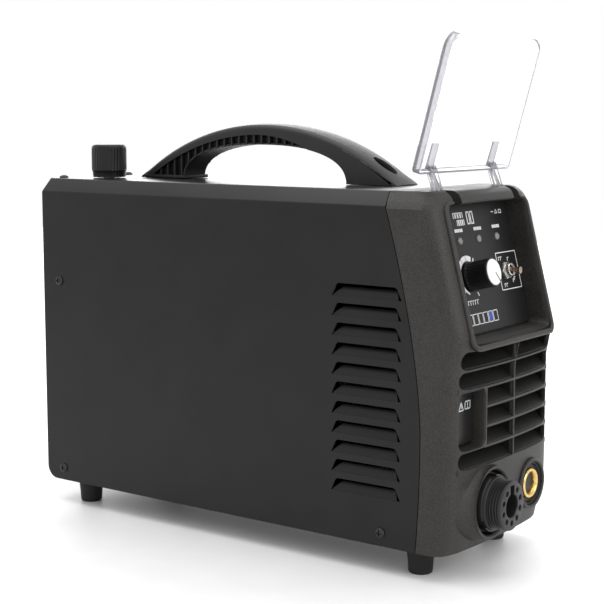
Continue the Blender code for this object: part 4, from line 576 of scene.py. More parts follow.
def front_moulding():
    shell = front_block("front_moulding", 0, lambda z: seam_curve(z) - 0.0003)
    under = front_block("under_lip", SHEET + 0.0003, lambda z: seam_curve(z) + 0.0035, 24)
    combine(shell, under, "UNION")
    combine(shell, torch_boss(), "UNION")
    earth_ring = [(0, -0.010), (0.0180, -0.010), (0.0178, 0.0006), (0.0172, 0.0013), (0.0164, 0.0014),
                  (0, 0.0014)]
    combine(shell, turned("earth_rim", EARTH, (0, -1, 0), earth_ring, 64), "UNION")
    combine(shell, recess_bead(), "UNION")

    hollow = front_block("front_hollow", WALL, lambda z: seam_curve(z) + 0.02, 40)
    solid = [recess_block("recess_outside", 0.0025)]
    notch = 0.0095
    for side in (-1, 1):
        middle = side * HINGE.x
        solid.append(block("hinge_block", (middle - notch / 2 - 0.003, HINGE.y - 0.009, RECESS_TOP - 0.001),
                           (middle + notch / 2 + 0.003, HINGE.y + 0.0115, TOP)))
    solid.append(block("pocket_outside", (-HALF, FRONT - 0.001, POCKET_FOOT - 0.002),
                       (-VENT_HALF + POCKET_WIDTH - 0.0005, POCKET_BACK + 0.002, POCKET_TOP + 0.002)))
    solid.append(turned("torch_backing", TORCH, (0, 1, 0), [(0, -0.001), (0.024, -0.001), (0.024, 0.0097),
                                                            (0, 0.0097)]))
    solid.append(turned("earth_backing", EARTH, (0, 1, 0), [(0, -0.001), (0.0175, -0.001), (0.0175, 0.0099),
                                                           (0, 0.0099)]))
    for extra in solid:
        combine(hollow, extra)
    cutters = [hollow, recess_block("recess_inside", 0.0, 0.0022)]
    for side in (-1, 1):
        middle = side * HINGE.x
        cutters.append(block("hinge_notch", (middle - notch / 2, HINGE.y - 0.030, RECESS_TOP - 0.006),
                             (middle + notch / 2, HINGE.y + 0.0085, TOP + 0.01)))
        cutters.append(turned("pin_bore", (middle - 0.0075, HINGE.y, HINGE.z), (1, 0, 0),
                              [(0.0018, 0), (0.0018, 0.015)], 16))
    cutters.append(turned("torch_hole", TORCH, (0, 1, 0),
                          [(0.0227, -0.02), (0.0227, -0.0036), (0.0217, -0.0026), (0.0215, 0.0047),
                           (0.0168, 0.0047), (0.0168, 0.02)], 64))
    cutters.append(turned("earth_hole", EARTH, (0, 1, 0),
                          [(0.0156, -0.02), (0.0156, -0.0014), (0.0150, -0.0006), (0.0150, 0.0049),
                           (0.0123, 0.0049), (0.0123, 0.02)], 56))
    pocket_rows = []
    for y, grow in ((POCKET_BACK, 0.0), (FRONT + 0.0020, 0.0), (FRONT + 0.0004, 0.0004),
                    (FRONT - 0.0006, 0.0011),
                    (FRONT - 0.010, 0.0011)):
        pocket_rows.append([(x, y + BOW * (x / HALF) ** 2, z) for x, z in slot_outline(
            -VENT_HALF, -VENT_HALF + POCKET_WIDTH - 0.0025, POCKET_FOOT, POCKET_TOP - POCKET_FOOT, True, True,
            0.0050, grow)])
    cutters.append(loft("label_pocket", pocket_rows))
    for index in range(VENT_ROWS):
        short = index in (1, 2, 3)
        cutters.append(vent_cutter(index, -VENT_HALF + (POCKET_WIDTH if short else 0), POST_X - 0.0013,
                                   not short, False))
        cutters.append(vent_cutter(index, POST_X + 0.0013, VENT_HALF, False, True))
    cutters.append(block("tray_room", (-HALF + 0.0077, FRONT + 0.0251, FOOT - 0.001),
                         (HALF - 0.0077, SEAM + 0.05, FOOT + WALL + 0.002)))
    for cutter in cutters:
        combine(shell, cutter)
    return close_up(shell, 38)


front_plastic = finish("front_moulding_plastic", (0.0090, 0.0083, 0.0077), (0.0330, 0.0305, 0.0287), 0.46,
                       0.20, 1050,
                       0.00030, detail=3.0, strength=0.9, gloss=0.36, speck=0.75)
fit(front_moulding(), ["front_moulding"], "unit", "front_plastic", front_plastic)


# ---------------------------------------------------------------- air louvres and label pocket
# Sloping vanes moulded behind the six openings throw the cooling air upwards and hide the inside.
# The left of the middle rows is closed by a deep pocket that holds a small printed plate.
def vane(foot, start, end, rise=0.0112, run=0.0165, thickness=0.0018, steps=12):
    rows = []
    for step in range(steps + 1):
        x = start + (end - start) * step / steps
        y = FRONT + BOW * (x / HALF) ** 2 + 0.0012
        rows.append([(x, y, foot + 0.0001), (x, y + 0.0015, foot + 0.0009), (x, y + run, foot + rise),
                     (x, y + run, foot + rise - thickness), (x, y + 0.0020, foot - 0.0022),
                     (x, y, foot - 0.0030)])
    return loft("vane", rows)


def grille():
    pieces = []
    for index in range(VENT_ROWS):
        foot = VENT_FOOT + VENT_PITCH * index
        left = -VENT_HALF + (POCKET_WIDTH if index in (1, 2, 3) else 0) - 0.0012
        pieces.append(vane(foot, left, VENT_HALF + 0.0012))
        pieces.append(prism("post", [(FRONT + 0.0008, foot - 0.001), (FRONT + 0.0175, foot - 0.001),
                                     (FRONT + 0.0175, foot + VENT_HEIGHT + 0.0016),
                                     (FRONT + 0.0008, foot + VENT_HEIGHT + 0.0016)],
                            "X", POST_X - 0.0010, POST_X + 0.0010))
        for side in (-1, 1):
            x = side * (VENT_HALF + 0.0018)
            y = FRONT + BOW * (x / HALF) ** 2
            head = foot + VENT_HEIGHT + 0.002
            pieces.append(block("vent_end", (x - 0.0008, y + 0.0022, foot - 0.002), (x + 0.0008, y + 0.019, head)))
    return gather("vent_grille", pieces)


# The vanes, posts and end walls take a darker copy of the moulding plastic: painted shade inside the vent openings.
vent_painted_shade = finish("vent_plastic_painted_shade", (0.0080, 0.0074, 0.0070), (0.0115, 0.0107, 0.0101), 0.50, 0.10, 1500,
                      0.00008,
                      gloss=0.32)
fit(close_up(grille()), [], "unit", "front_plastic", vent_painted_shade)


# ---------------------------------------------------------------- label plate
# A dark printed film on a thin plastic plate, set on the floor of the pocket.
# It shows two small pale symbols, a triangle and an open book.
def strip(points, width, depth, place, close=False):
    """A thin raised line through points (a, b), laid on a plane by the place matrix."""
    made = []
    pairs = list(zip(points, points[1:] + points[:1])) if close else list(zip(points, points[1:]))
    for (a1, b1), (a2, b2) in pairs:
        along = Vector((a2 - a1, b2 - b1)).normalized() * width / 2
        across = Vector((-along.y, along.x))
        corners = [Vector((a1, b1)) - along + across, Vector((a1, b1)) - along - across,
                   Vector((a2, b2)) + along - across, Vector((a2, b2)) + along + across]
        rows = [[place @ Vector((corner.x, corner.y, level)) for corner in corners] for level in (-0.0001,
                                                                                                  depth)]
        made.append(loft("line", rows))
    return gather("line", made)


def panel(a_low, b_low, a_high, b_high, depth, place):
    rows = [[place @ Vector((a, b, level)) for a, b in ((a_low, b_low), (a_high, b_low), (a_high, b_high),
                                                        (a_low, b_high))] for level in (-0.0001, depth)]
    return loft("panel", rows)


def ring_arc(centre, radius, width, start, end, depth, place, steps=24):
    outer = arc(centre, radius + width / 2, start, end, steps)
    inner = arc(centre, radius - width / 2, end, start, steps)
    return loft("ring_arc", [[place @ Vector((a, b, level)) for a, b in outer + inner] for level in (-0.0001, depth)])


def paint(material, *names):
    """Give CAD pieces that keep their shape the finish of their real material."""
    for name in names:
        nodes[name].data.materials.clear()
        nodes[name].data.materials.append(material)


label_ink = finish("pale_ink", (0.62, 0.62, 0.63), (0.72, 0.72, 0.73), 0.55, 0.06, 900, 0.00001)
label_film = finish("label_film", (0.010, 0.010, 0.011), (0.014, 0.014, 0.015), 0.30, 0.08, 700, 0.00001,
                    gloss=0.3)
paint(label_film, "label_plate")
plate_low, plate_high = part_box("label_plate")
on_plate = Matrix.Translation((plate_low.x + 0.0062, plate_low.y,
                               plate_high.z + 0.0017)) @ Matrix.Rotation(math.pi / 2, 4, "X")
symbols = [strip([(0.0035, -0.0135), (0.0095, -0.0135), (0.0065, -0.0080)], 0.0006, 0.00012, on_plate, True),
           strip([(0.0065, -0.0098), (0.0065, -0.0118)], 0.0007, 0.00012, on_plate),
           strip([(0.0115, -0.0082), (0.0180, -0.0082), (0.0180, -0.0132), (0.0115, -0.0132)], 0.0006,
                 0.00012,
                 on_plate, True),
           strip([(0.01475, -0.0082), (0.01475, -0.0132)], 0.0006, 0.00012, on_plate)]
fit(gather("label_symbols", symbols), [], "unit", "label_film", label_ink)


# ---------------------------------------------------------------- control fascia and its printing
# A black polyester film on a thin plate that leans back at the bottom of the recess.
# Pale printing marks the lamps, the current scale and the test switch.
floor_turn = math.pi / 2 - LEAN
plane = Matrix.Translation((0, lip(RECESS_MID) + BOW * 0.6 + RECESS_DEPTH,
                            RECESS_MID)) @ Matrix.Rotation(floor_turn, 4, "X")
FACE = 0.0023
on_face = plane @ Matrix.Translation((0, 0, FACE))
KNOB = (-0.0170, -0.0065)
TOGGLE = (0.0315, -0.0065)
LED_UP, LED_X, LED_STEP = 0.018, 0.0050, 0.025
MARK = 0.00012

fascia_film = finish("fascia_film", (0.0085, 0.0085, 0.0095), (0.0115, 0.0115, 0.0125), 0.40, 0.07, 1400,
                     0.00001,
                     gloss=0.25)
paint(fascia_film, "control_fascia")

marks = []
for step in (-1, 0, 1):
    x = LED_X + LED_STEP * step + 0.0010
    for part in (-2, -1, 0, 1, 2):
        marks.append(panel(x + part * 0.0021 - 0.0008, LED_UP + 0.0058, x + part * 0.0021 + 0.0008,
                           LED_UP + 0.0080, MARK,
                           on_face))
for row, start, width in ((0.0350, -0.0222, 0.0130), (0.0300, -0.0185, 0.0098)):
    for part in range(4):
        a = start + part * width / 4
        marks.append(strip([(a, row - 0.0016), (a, row + 0.0016), (a + width / 6, row + 0.0016),
                            (a + width / 6, row - 0.0016)],
                           0.0007, MARK, on_face))
for a in (-0.0050, -0.0002):
    marks.append(strip([(a, 0.0288), (a, 0.0366), (a + 0.0032, 0.0366), (a + 0.0032, 0.0288)], 0.0010, MARK,
                       on_face,
                       True))
marks.append(strip([(0.0290, 0.0350), (0.0318, 0.0350)], 0.0005, MARK, on_face))
marks.append(strip([(0.0340, 0.0338), (0.0372, 0.0338), (0.0356, 0.0364)], 0.0005, MARK, on_face, True))
marks.append(strip([(0.0395, 0.0338), (0.0427, 0.0338), (0.0427, 0.0360), (0.0395, 0.0360)], 0.0005, MARK,
                   on_face, True))
for first, last, middle, wide in ((64, 92, 0.0126, 0.0036), (94, 120, 0.0126, 0.0036),
                                  (122, 150, 0.0126, 0.0036),
                                  (152, 178, 0.0124, 0.0031), (179, 212, 0.0120, 0.0022),
                                  (213, 250, 0.0116, 0.0014)):
    marks.append(ring_arc(KNOB, middle, wide, first, last, MARK, on_face, 8))
for turn in (40, 52, 225, 300):
    near, far = 0.0128, 0.0148
    across, up = math.cos(math.radians(turn)), math.sin(math.radians(turn))
    marks.append(strip([(KNOB[0] + near * across, KNOB[1] + near * up),
                        (KNOB[0] + far * across, KNOB[1] + far * up)],
                       0.0009, MARK, on_face))
for part in range(6):
    a = KNOB[0] - 0.0115 + part * 0.0030
    marks.append(strip([(a, -0.0247), (a, -0.0222), (a + 0.0016, -0.0222)], 0.0006, MARK, on_face))
left, right, half_up = TOGGLE[0] - 0.0085, TOGGLE[0] + 0.0190, 0.0128
marks.append(strip([(left, TOGGLE[1] - half_up), (right, TOGGLE[1] - half_up), (right, TOGGLE[1] + half_up),
                    (left, TOGGLE[1] + half_up)], 0.0006, MARK, on_face, True))
for a, b in ((-0.0050, 0.0088), (-0.0022, 0.0088), (0.0072, 0.0078), (-0.0032, -0.0098), (-0.0006, -0.0098),
             (0.0094, -0.0075), (0.0114, -0.0062)):
    marks.append(strip([(TOGGLE[0] + a - 0.0008, TOGGLE[1] + b - 0.0010),
                        (TOGGLE[0] + a - 0.0008, TOGGLE[1] + b + 0.0010),
                        (TOGGLE[0] + a + 0.0008, TOGGLE[1] + b + 0.0010)], 0.0006, MARK, on_face))
for part in range(6):
    a = -0.0292 + part * 0.0066
    marks.append(strip([(a, -0.0382), (a + 0.0055, -0.0382), (a + 0.0055, -0.0312), (a, -0.0312)], 0.0005,
                       MARK, on_face,
                       True))
fit(gather("fascia_printing", marks), [], "unit", "label_film", label_ink)
blue_ink = finish("blue_ink", (0.025, 0.045, 0.30), (0.035, 0.060, 0.38), 0.45, 0.06, 900, 0.00001)
fit(panel(-0.0292 + 4 * 0.0066 + 0.0005, -0.0377, -0.0292 + 4 * 0.0066 + 0.0050, -0.0317, MARK, on_face),
    [], "unit",
    "label_film", blue_ink)


# ---------------------------------------------------------------- indicator lamps
# Three small diffused lenses pushed through the fascia from the circuit board.
lamp_lens = finish("lamp_lens", (0.16, 0.165, 0.16), (0.21, 0.215, 0.21), 0.28, 0.08, 500, 0.00003)
for number, step in enumerate((-1, 0, 1)):
    x = LED_X + LED_STEP * step
    dome = [(0.0027 * math.cos(math.radians(turn)),
             0.0016 * math.sin(math.radians(turn))) for turn in range(0, 90, 12)]
    lens = turned("lamp", (0, 0, 0), (0, 0, 1), [(0.0023, -0.0090), (0.0023, 0.0)] + dome + [(0, 0.0016)], 32)
    lens.data.transform(on_face @ Matrix.Translation((x, LED_UP, 0)))
    lens.name = f"lamp_{number + 1}"
    fit(close_up(lens), [f"indicator_led_{number + 1}"], "unit", "led_lens", lamp_lens)


# ---------------------------------------------------------------- current knob
# A slim moulded knob with fine flutes, pushed on the potentiometer shaft, and a pale press-in cap.
# The cap carries a thin dark pointer line.
black_plastic = finish("black_plastic", (0.0050, 0.0050, 0.0054), (0.0080, 0.0080, 0.0084), 0.34, 0.10,
                       1800, 0.00003,
                       gloss=0.28)
knob_base = on_face @ Matrix.Translation((KNOB[0], KNOB[1], 0.0012))


def fluted(name, profile, flutes, depth, low, high, steps=6):
    """Spin a profile whose radius dips between flutes over part of its length."""
    rows = []
    count = flutes * steps
    for radius, along in profile:
        row = []
        for step in range(count):
            turn = 2 * math.pi * step / count
            dip = depth * (0.5 - 0.5 * math.cos(flutes * turn)) if low <= along <= high else 0
            row.append(Vector(((max(radius, 1e-6) - dip) * math.cos(turn),
                               (max(radius, 1e-6) - dip) * math.sin(turn), along)))
        rows.append(row)
    return loft(name, rows)


knob_profile = [(0.0033, 0), (0.0094, 0), (0.0099, 0.0006), (0.0099, 0.0016), (0.0096, 0.0022),
                (0.0096, 0.0150),
                (0.0098, 0.0158), (0.0098, 0.0168), (0.0096, 0.0173), (0.0092, 0.0175), (0.0089, 0.0175),
                (0.0089, 0.0163), (0, 0.0163)]
knob = fluted("current_knob_skirt", knob_profile, 24, 0.00014, 0.0021, 0.0151)
knob.data.transform(knob_base)
fit(close_up(knob, 30), ["current_knob"], "knob_body", "black_plastic", black_plastic)
cap = turned("current_knob_cap_piece", (0, 0, 0), (0, 0, 1),
             [(0.0087, 0.0164), (0.0087, 0.0175), (0.0084, 0.0179), (0.0064, 0.01805), (0, 0.0181)], 48)
cap.data.transform(knob_base)
cap_white = finish("cap_white", (0.66, 0.65, 0.63), (0.74, 0.73, 0.71), 0.42, 0.08, 900, 0.00001)
fit(close_up(cap), ["current_knob_cap"], "knob_body", "pale_cap", cap_white)
pointer = strip([(0.0012, -0.0008), (0.0050, -0.0062)], 0.0007, 0.00012,
                knob_base @ Matrix.Translation((0, 0, 0.01805)))
fit(pointer, [], "knob_body", "black_plastic", black_plastic)


# ---------------------------------------------------------------- test switch
# A plated toggle switch: threaded bush and hexagon nut through the fascia, and a tapered lever.
chrome = finish("nickel_plate", (0.62, 0.60, 0.57), (0.70, 0.68, 0.65), 0.20, 0.08, 300, 0.00001,
                metallic=1.0)
toggle_frame = on_face @ Matrix.Translation((TOGGLE[0], TOGGLE[1], 0))
nut_points = arc((0, 0), 0.0066, 0, 300, 5)
toggle_nut = soften(prism("hexagon_nut", nut_points, "Z", 0.0003, 0.0026), 0.0004, 2)
toggle_nut.data.transform(toggle_frame)
fit(close_up(toggle_nut), ["toggle_nut"], "unit", "chrome_trim", chrome)
bush = [(0.0045, -0.0005), (0.0045, 0.0029)]
for turn in range(4):
    bush += [(0.0045, 0.0030 + turn * 0.0006), (0.0042, 0.0033 + turn * 0.0006)]
bush += [(0.0045, 0.0054), (0.0042, 0.0058), (0.0036, 0.0058), (0.0030, 0.0044), (0.0030, 0.0004),
         (0, 0.0004)]
toggle_bush = turned("toggle_bush", (0, 0, 0), (0, 0, 1), bush, 40)
toggle_bush.data.transform(toggle_frame)
fit(close_up(toggle_bush), [], "unit", "chrome_trim", chrome)
lever_profile = [(0, -0.0022), (0.0016, -0.0019), (0.0022, -0.0008), (0.0021, 0.0010), (0.0015, 0.0024),
                 (0.0018, 0.0050), (0.0024, 0.0074), (0.0026, 0.0082), (0.0024, 0.0089), (0.0015, 0.0093),
                 (0, 0.0094)]
lever = turned("toggle_lever_piece", (0, 0, 0), (0, 0, 1), lever_profile, 32)
lever.data.transform(toggle_frame @ Matrix.Translation((0, 0, 0.0034)) @ Matrix.Rotation(math.radians(12),
                                                                                         4, "X"))
bronze = finish("worn_plating", (0.30, 0.22, 0.15), (0.42, 0.33, 0.25), 0.24, 0.10, 300, 0.00001,
                metallic=1.0)
fit(close_up(lever, 50), ["toggle_lever"], "toggle_body", "chrome_trim", bronze)


# ---------------------------------------------------------------- torch socket
# A moulded connector with a coarse outside thread, held in the front by a notched ring nut.
# Its face has a large bore with a key slot and a ring of nine small contact holes.
socket_plastic = finish("socket_plastic", (0.0130, 0.0125, 0.0122), (0.0175, 0.0168, 0.0163), 0.40, 0.12,
                        1300, 0.00006,
                        gloss=0.36)
NUT_SEAT = -0.0047
SOCKET_END = FRONT - torch_low.y
profile = [(0, -0.0300), (0.0060, -0.0300), (0.0060, -0.0245), (0.0130, -0.0245), (0.0130, -0.0130),
           (0.0165, -0.0130),
           (0.0165, 0.0070)]
along = 0.0074
while along < SOCKET_END - 0.0026:
    profile += [(0.0165, along), (0.0165, along + 0.0006), (0.0155, along + 0.0011), (0.0155, along + 0.0015)]
    along += 0.0021
profile += [(0.0164, SOCKET_END - 0.0022), (0.0165, SOCKET_END - 0.0010), (0.0162, SOCKET_END - 0.0003),
            (0.0156, SOCKET_END), (0.0084, SOCKET_END), (0.0078, SOCKET_END - 0.0006),
            (0.0078, NUT_SEAT + 0.001),
            (0, NUT_SEAT + 0.001)]
socket = turned("torch_connector", TORCH, (0, -1, 0), profile, 80)
face_y = FRONT - SOCKET_END
drills = [block("key_slot", (TORCH.x - 0.0027, face_y - 0.01, TORCH.z),
                (TORCH.x + 0.0027, face_y + 0.010, TORCH.z + 0.0138))]
for index in range(1, 10):
    turn = math.pi / 2 + 2 * math.pi * index / 10
    spot = (TORCH.x + 0.0115 * math.cos(turn), face_y + 0.009, TORCH.z + 0.0115 * math.sin(turn))
    drills.append(turned("contact_hole", spot, (0, -1, 0), [(0.0017, 0), (0.0017, 0.0084), (0.0021, 0.0091),
                                                            (0.0021, 0.02)],
                         20))
for drill in drills:
    combine(socket, drill)
fit(close_up(socket), ["torch_socket"], "unit", "socket_plastic", socket_plastic)

ring_nut = turned("ring_nut", TORCH + Vector((0, -NUT_SEAT - 0.0003, 0)), (0, -1, 0),
                  [(0.0167, 0), (0.0198, 0), (0.0200, 0.0003), (0.0200, 0.0032), (0.0197, 0.0036),
                   (0.0190, 0.0038),
                   (0.0190, 0.0090), (0.0187, 0.0093), (0.0180, 0.0094), (0.0178, 0.0110), (0.0174, 0.0115),
                   (0.0167, 0.0115)], 72)
for index in range(3):
    tooth = block("tooth", (-0.0036, -0.0098, 0.0174), (0.0036, -0.0012, 0.030))
    tooth.data.transform(Matrix.Translation(TORCH + Vector((0, -NUT_SEAT, 0))) @
                         Matrix.Rotation(math.radians(-8) + 2 * math.pi * index / 3, 4, "Y"))
    combine(ring_nut, tooth)
fit(close_up(ring_nut, 30), ["torch_nut"], "unit", "socket_plastic", socket_plastic)


# ---------------------------------------------------------------- earth socket
# A turned brass sleeve with a bevelled mouth, in a dished black plastic surround.
polished_brass = finish("brass", (0.72, 0.50, 0.17), (0.82, 0.60, 0.24), 0.19, 0.10, 420, 0.00003,
                        metallic=1.0)
surround = turned("earth_surround", EARTH, (0, -1, 0),
                  [(0.0110, -0.0200), (0.0120, -0.0200), (0.0120, -0.0046), (0.0147, -0.0046),
                   (0.0147, -0.0006),
                   (0.0144, -0.0002), (0.0139, -0.0004), (0.0128, -0.0022), (0.0116, -0.0026),
                   (0.0110, -0.0026)], 56)
fit(surround, ["earth_socket_body"], "unit", "black_plastic", black_plastic)
sleeve = turned("earth_sleeve", EARTH, (0, -1, 0),
                [(0, -0.0420), (0.0050, -0.0420), (0.0050, -0.0340), (0.0106, -0.0340), (0.0106, -0.0008),
                 (0.0103, -0.0003), (0.0098, 0), (0.0085, -0.0001), (0.0076, -0.0009), (0.0072, -0.0020),
                 (0.0072, -0.0255), (0, -0.0255)], 64)
fit(sleeve, ["earth_socket_brass"], "unit", "brass", polished_brass)


# ---------------------------------------------------------------- hinged lid
# One clear acrylic moulding: a thin sheet with a raised rim, a crease near the hinge and two forked arms.
# The arms snap over steel pins in the notches above the controls.
def clear_acrylic():
    """Clear plastic with a faint grey cast: mostly refracting, with a little haze from wiping marks."""
    made, tree, shader = new_material("clear_acrylic")
    fine = tree.nodes.new("ShaderNodeGroup")
    fine.node_tree = FINE_SURFACE
    fine.inputs["Scale"].default_value = 60
    fine.inputs["Roughness"].default_value = 0.035
    fine.inputs["Spread"].default_value = 0.03
    tint = tree.nodes.new("ShaderNodeValToRGB")
    tint.color_ramp.elements[0].color = (0.56, 0.555, 0.585, 1)
    tint.color_ramp.elements[1].color = (0.62, 0.615, 0.64, 1)
    tree.links.new(fine.outputs["Mottle"], tint.inputs["Fac"])
    tree.links.new(tint.outputs["Color"], shader.inputs["Base Color"])
    tree.links.new(fine.outputs["Roughness"], shader.inputs["Roughness"])
    shader.inputs["Transmission Weight"].default_value = 0.78
    shader.inputs["IOR"].default_value = 1.49
    return made


lid_turn = math.pi / 2 + math.radians(15.6)
lid_frame = Matrix.Translation((0, HINGE.y, HINGE.z)) @ Matrix.Rotation(lid_turn, 4, "X")
LID_HALF = HALF - 0.008
LID_BACK = -0.0144
LID_FOOT, LID_END = 0.0145, 0.0145 + 0.093
RIM = 0.0022


def lid_outline(inset, level):
    half, low, high, radius = LID_HALF - inset, LID_FOOT + inset, LID_END - 0.0016 - inset, 0.010 - inset
    small = max(0.0025 - inset, 0.0004)
    line = arc((-half + small, low + small), small, 180, 270, 4) + arc((half - small, low + small), small,
                                                                       270, 360, 4)
    line += arc((half - radius, high - radius), radius, 0, 90, 8)
    for share in range(1, 12):
        x = (half - radius) * (1 - 2 * share / 12)
        line.append((x, high + 0.0016 * (1 - (x / (half - radius)) ** 2)))
    line += arc((-half + radius, high - radius), radius, 90, 180, 8)
    return [lid_frame @ Vector((x, up, level)) for x, up in line]


def lid_arm(side):
    """A forked clear arm: a flat tongue on the sheet, then two ribs that meet in an eye on the pin."""
    x = side * HINGE.x
    made = [prism("tongue", [(LID_FOOT + 0.0010, LID_BACK - 0.0030), (LID_FOOT + 0.0190, LID_BACK - 0.0024),
                             (LID_FOOT + 0.0190, LID_BACK - 0.0006), (LID_FOOT + 0.0010, LID_BACK - 0.0006)],
                  "X", x - 0.0040, x + 0.0040)]
    for offset in (-0.0032, 0.0032):
        outline = [(LID_FOOT + 0.0045, LID_BACK - 0.0028), (LID_FOOT + 0.0045, LID_BACK + 0.0012),
                   (0.0062, -0.0042)] + arc((0, 0), 0.0042, 45, 215, 14)
        made.append(prism("rib", outline, "X", x + offset - 0.0008, x + offset + 0.0008))
    made.append(prism("web", [(LID_FOOT + 0.0040, LID_BACK - 0.0026), (LID_FOOT + 0.0040, LID_BACK - 0.0010),
                              (0.0030, -0.0020), (0.0010, -0.0040)], "X", x - 0.0032, x + 0.0032))
    made.append(prism("eye", arc((0, 0), 0.0042, 0, 352.5, 47), "X", x - 0.0038, x + 0.0038))
    arm = made[0]
    for extra in made[1:]:
        combine(arm, extra, "UNION")
    combine(arm, prism("pin_hole", arc((0, 0), 0.0018, 0, 345, 23), "X", x - 0.01, x + 0.01))
    arm.data.transform(lid_frame)
    return arm


def clear_lid():
    rim_top = LID_BACK + 0.0040
    tray = loft("clear_lid", [lid_outline(0.0006, LID_BACK - 0.0018), lid_outline(0.0, LID_BACK - 0.0012),
                              lid_outline(0.0, rim_top - 0.0004), lid_outline(0.0004, rim_top)])
    combine(tray, loft("hollow", [lid_outline(RIM + 0.0003, LID_BACK), lid_outline(RIM, LID_BACK + 0.0004),
                                  lid_outline(RIM - 0.0002, rim_top + 0.01)]))
    crease = LID_FOOT + 0.0255
    groove = prism("crease", [(crease - 0.00045, LID_BACK - 0.00045), (crease + 0.00045, LID_BACK - 0.00045),
                              (crease + 0.0008, LID_BACK + 0.004), (crease - 0.0008, LID_BACK + 0.004)], "X",
                   -LID_HALF + 0.0035, LID_HALF - 0.0035)
    groove.data.transform(lid_frame)
    combine(tray, groove)
    close_up(tray)
    return gather("clear_lid", [tray, close_up(lid_arm(-1)), close_up(lid_arm(1))])


fit(clear_lid(), ["lid"], "lid_body", "clear_lid", clear_acrylic())
zinc = finish("zinc_plate", (0.50, 0.50, 0.52), (0.60, 0.60, 0.61), 0.30, 0.12, 500, 0.00001, metallic=1.0)
paint(zinc, "hinge_pin_left", "hinge_pin_right")


# ---------------------------------------------------------------- carrying handle
# A tough black moulding: a smooth arched skin with rounded edges over a narrower web stiffened by thin ribs.
# Both feet stand on slim base plates, and one long screw goes down through a slanted oval recess in each.
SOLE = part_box("handle")[0].z
HANDLE_WIDE = 0.014
HANDLE_LONG = 0.2365
HANDLE_REAR, HANDLE_FRONT = REAR - 0.053, REAR - 0.053 - HANDLE_LONG
FOOT_LONG = 0.043
GRIP = 0.0150
ARCH_MIDDLE = (HANDLE_REAR + HANDLE_FRONT) / 2 + 0.001
ARCH_TOP = TOP + 0.0420
ARCH_RISE = 0.0410
OUTER_RADIUS = ((HANDLE_LONG / 2) ** 2 + ARCH_RISE ** 2) / (2 * ARCH_RISE)


def bow(height, radius):
    return lambda y: height - radius + math.sqrt(radius ** 2 - (y - ARCH_MIDDLE) ** 2)


outer_bow = bow(ARCH_TOP, OUTER_RADIUS)
REAR_LEG, FRONT_LEG = HANDLE_REAR - FOOT_LONG, HANDLE_FRONT + FOOT_LONG


def inner_edge(grow=0.0, steps=48):
    """The inside of the arch from the front foot to the rear foot, as (y, z)."""
    middle, half = (REAR_LEG + FRONT_LEG) / 2, (REAR_LEG - FRONT_LEG) / 2 + grow
    height = ARCH_TOP - GRIP - SOLE + grow
    line = []
    for step in range(steps + 1):
        turn = math.pi * (1 - step / steps)
        across, up = math.cos(turn), math.sin(turn)
        power = 2 / 2.35
        line.append((middle + half * math.copysign(abs(across) ** power, across),
                     SOLE + height * up ** power))
    return line


def skin_edge(y):
    """Lower edge of the skin: a thin band over the grip that widens down to the front foot."""
    share = min(max((ARCH_MIDDLE + 0.010 - y) / (ARCH_MIDDLE - FRONT_LEG), 0), 1)
    return outer_bow(y) - 0.0080 - 0.0120 * share ** 2.2


def skin():
    """The smooth outer band: a crowned section swept along the arch."""
    rows = []
    steps = 72
    for step in range(steps + 1):
        y = HANDLE_FRONT + 0.0008 + (HANDLE_REAR - HANDLE_FRONT - 0.0016) * step / steps
        top = outer_bow(y)
        low = min(max(skin_edge(y), SOLE + 0.0001), top - 0.0008)
        if y < FRONT_LEG + 0.004:
            low = SOLE + 0.0001
        edge = min(0.0046, (top - low) * 0.62)
        section = [(-HANDLE_WIDE, low)]
        section += [(-HANDLE_WIDE + edge - edge * math.cos(math.pi / 2 * part / 6),
                     top - 0.0006 - edge + edge * math.sin(math.pi / 2 * part / 6)) for part in range(7)]
        section += [(x, top - 0.0006 * (x / (HANDLE_WIDE - edge)) ** 2) for x in (-0.005, 0.0, 0.005)]
        section += [(-x, z) for x, z in reversed(section[1:8])]
        section.append((HANDLE_WIDE, low))
        rows.append([(x, y, max(z, SOLE)) for x, z in section])
    return loft("handle_skin", rows)


def screw_recess(y):
    """An oval cutter that stands square to the arch, for the slanted screw recess in a foot."""
    slope = math.atan2(outer_bow(y + 0.001) - outer_bow(y - 0.001), 0.002)
    place = Matrix.Translation((0, y, outer_bow(y))) @ Matrix.Rotation(slope, 4, "X")
    rows = []
    for level, grow in ((-0.0100, -0.0008), (-0.0010, 0.0), (0.0002, 0.0006), (0.0100, 0.0012)):
        rows.append([place @ Vector(((0.0052 + grow) * math.cos(2 * math.pi * step / 40),
                                     (0.0105 + grow) * math.sin(2 * math.pi * step / 40),
                                     level)) for step in range(40)])
    return loft("screw_recess", rows)


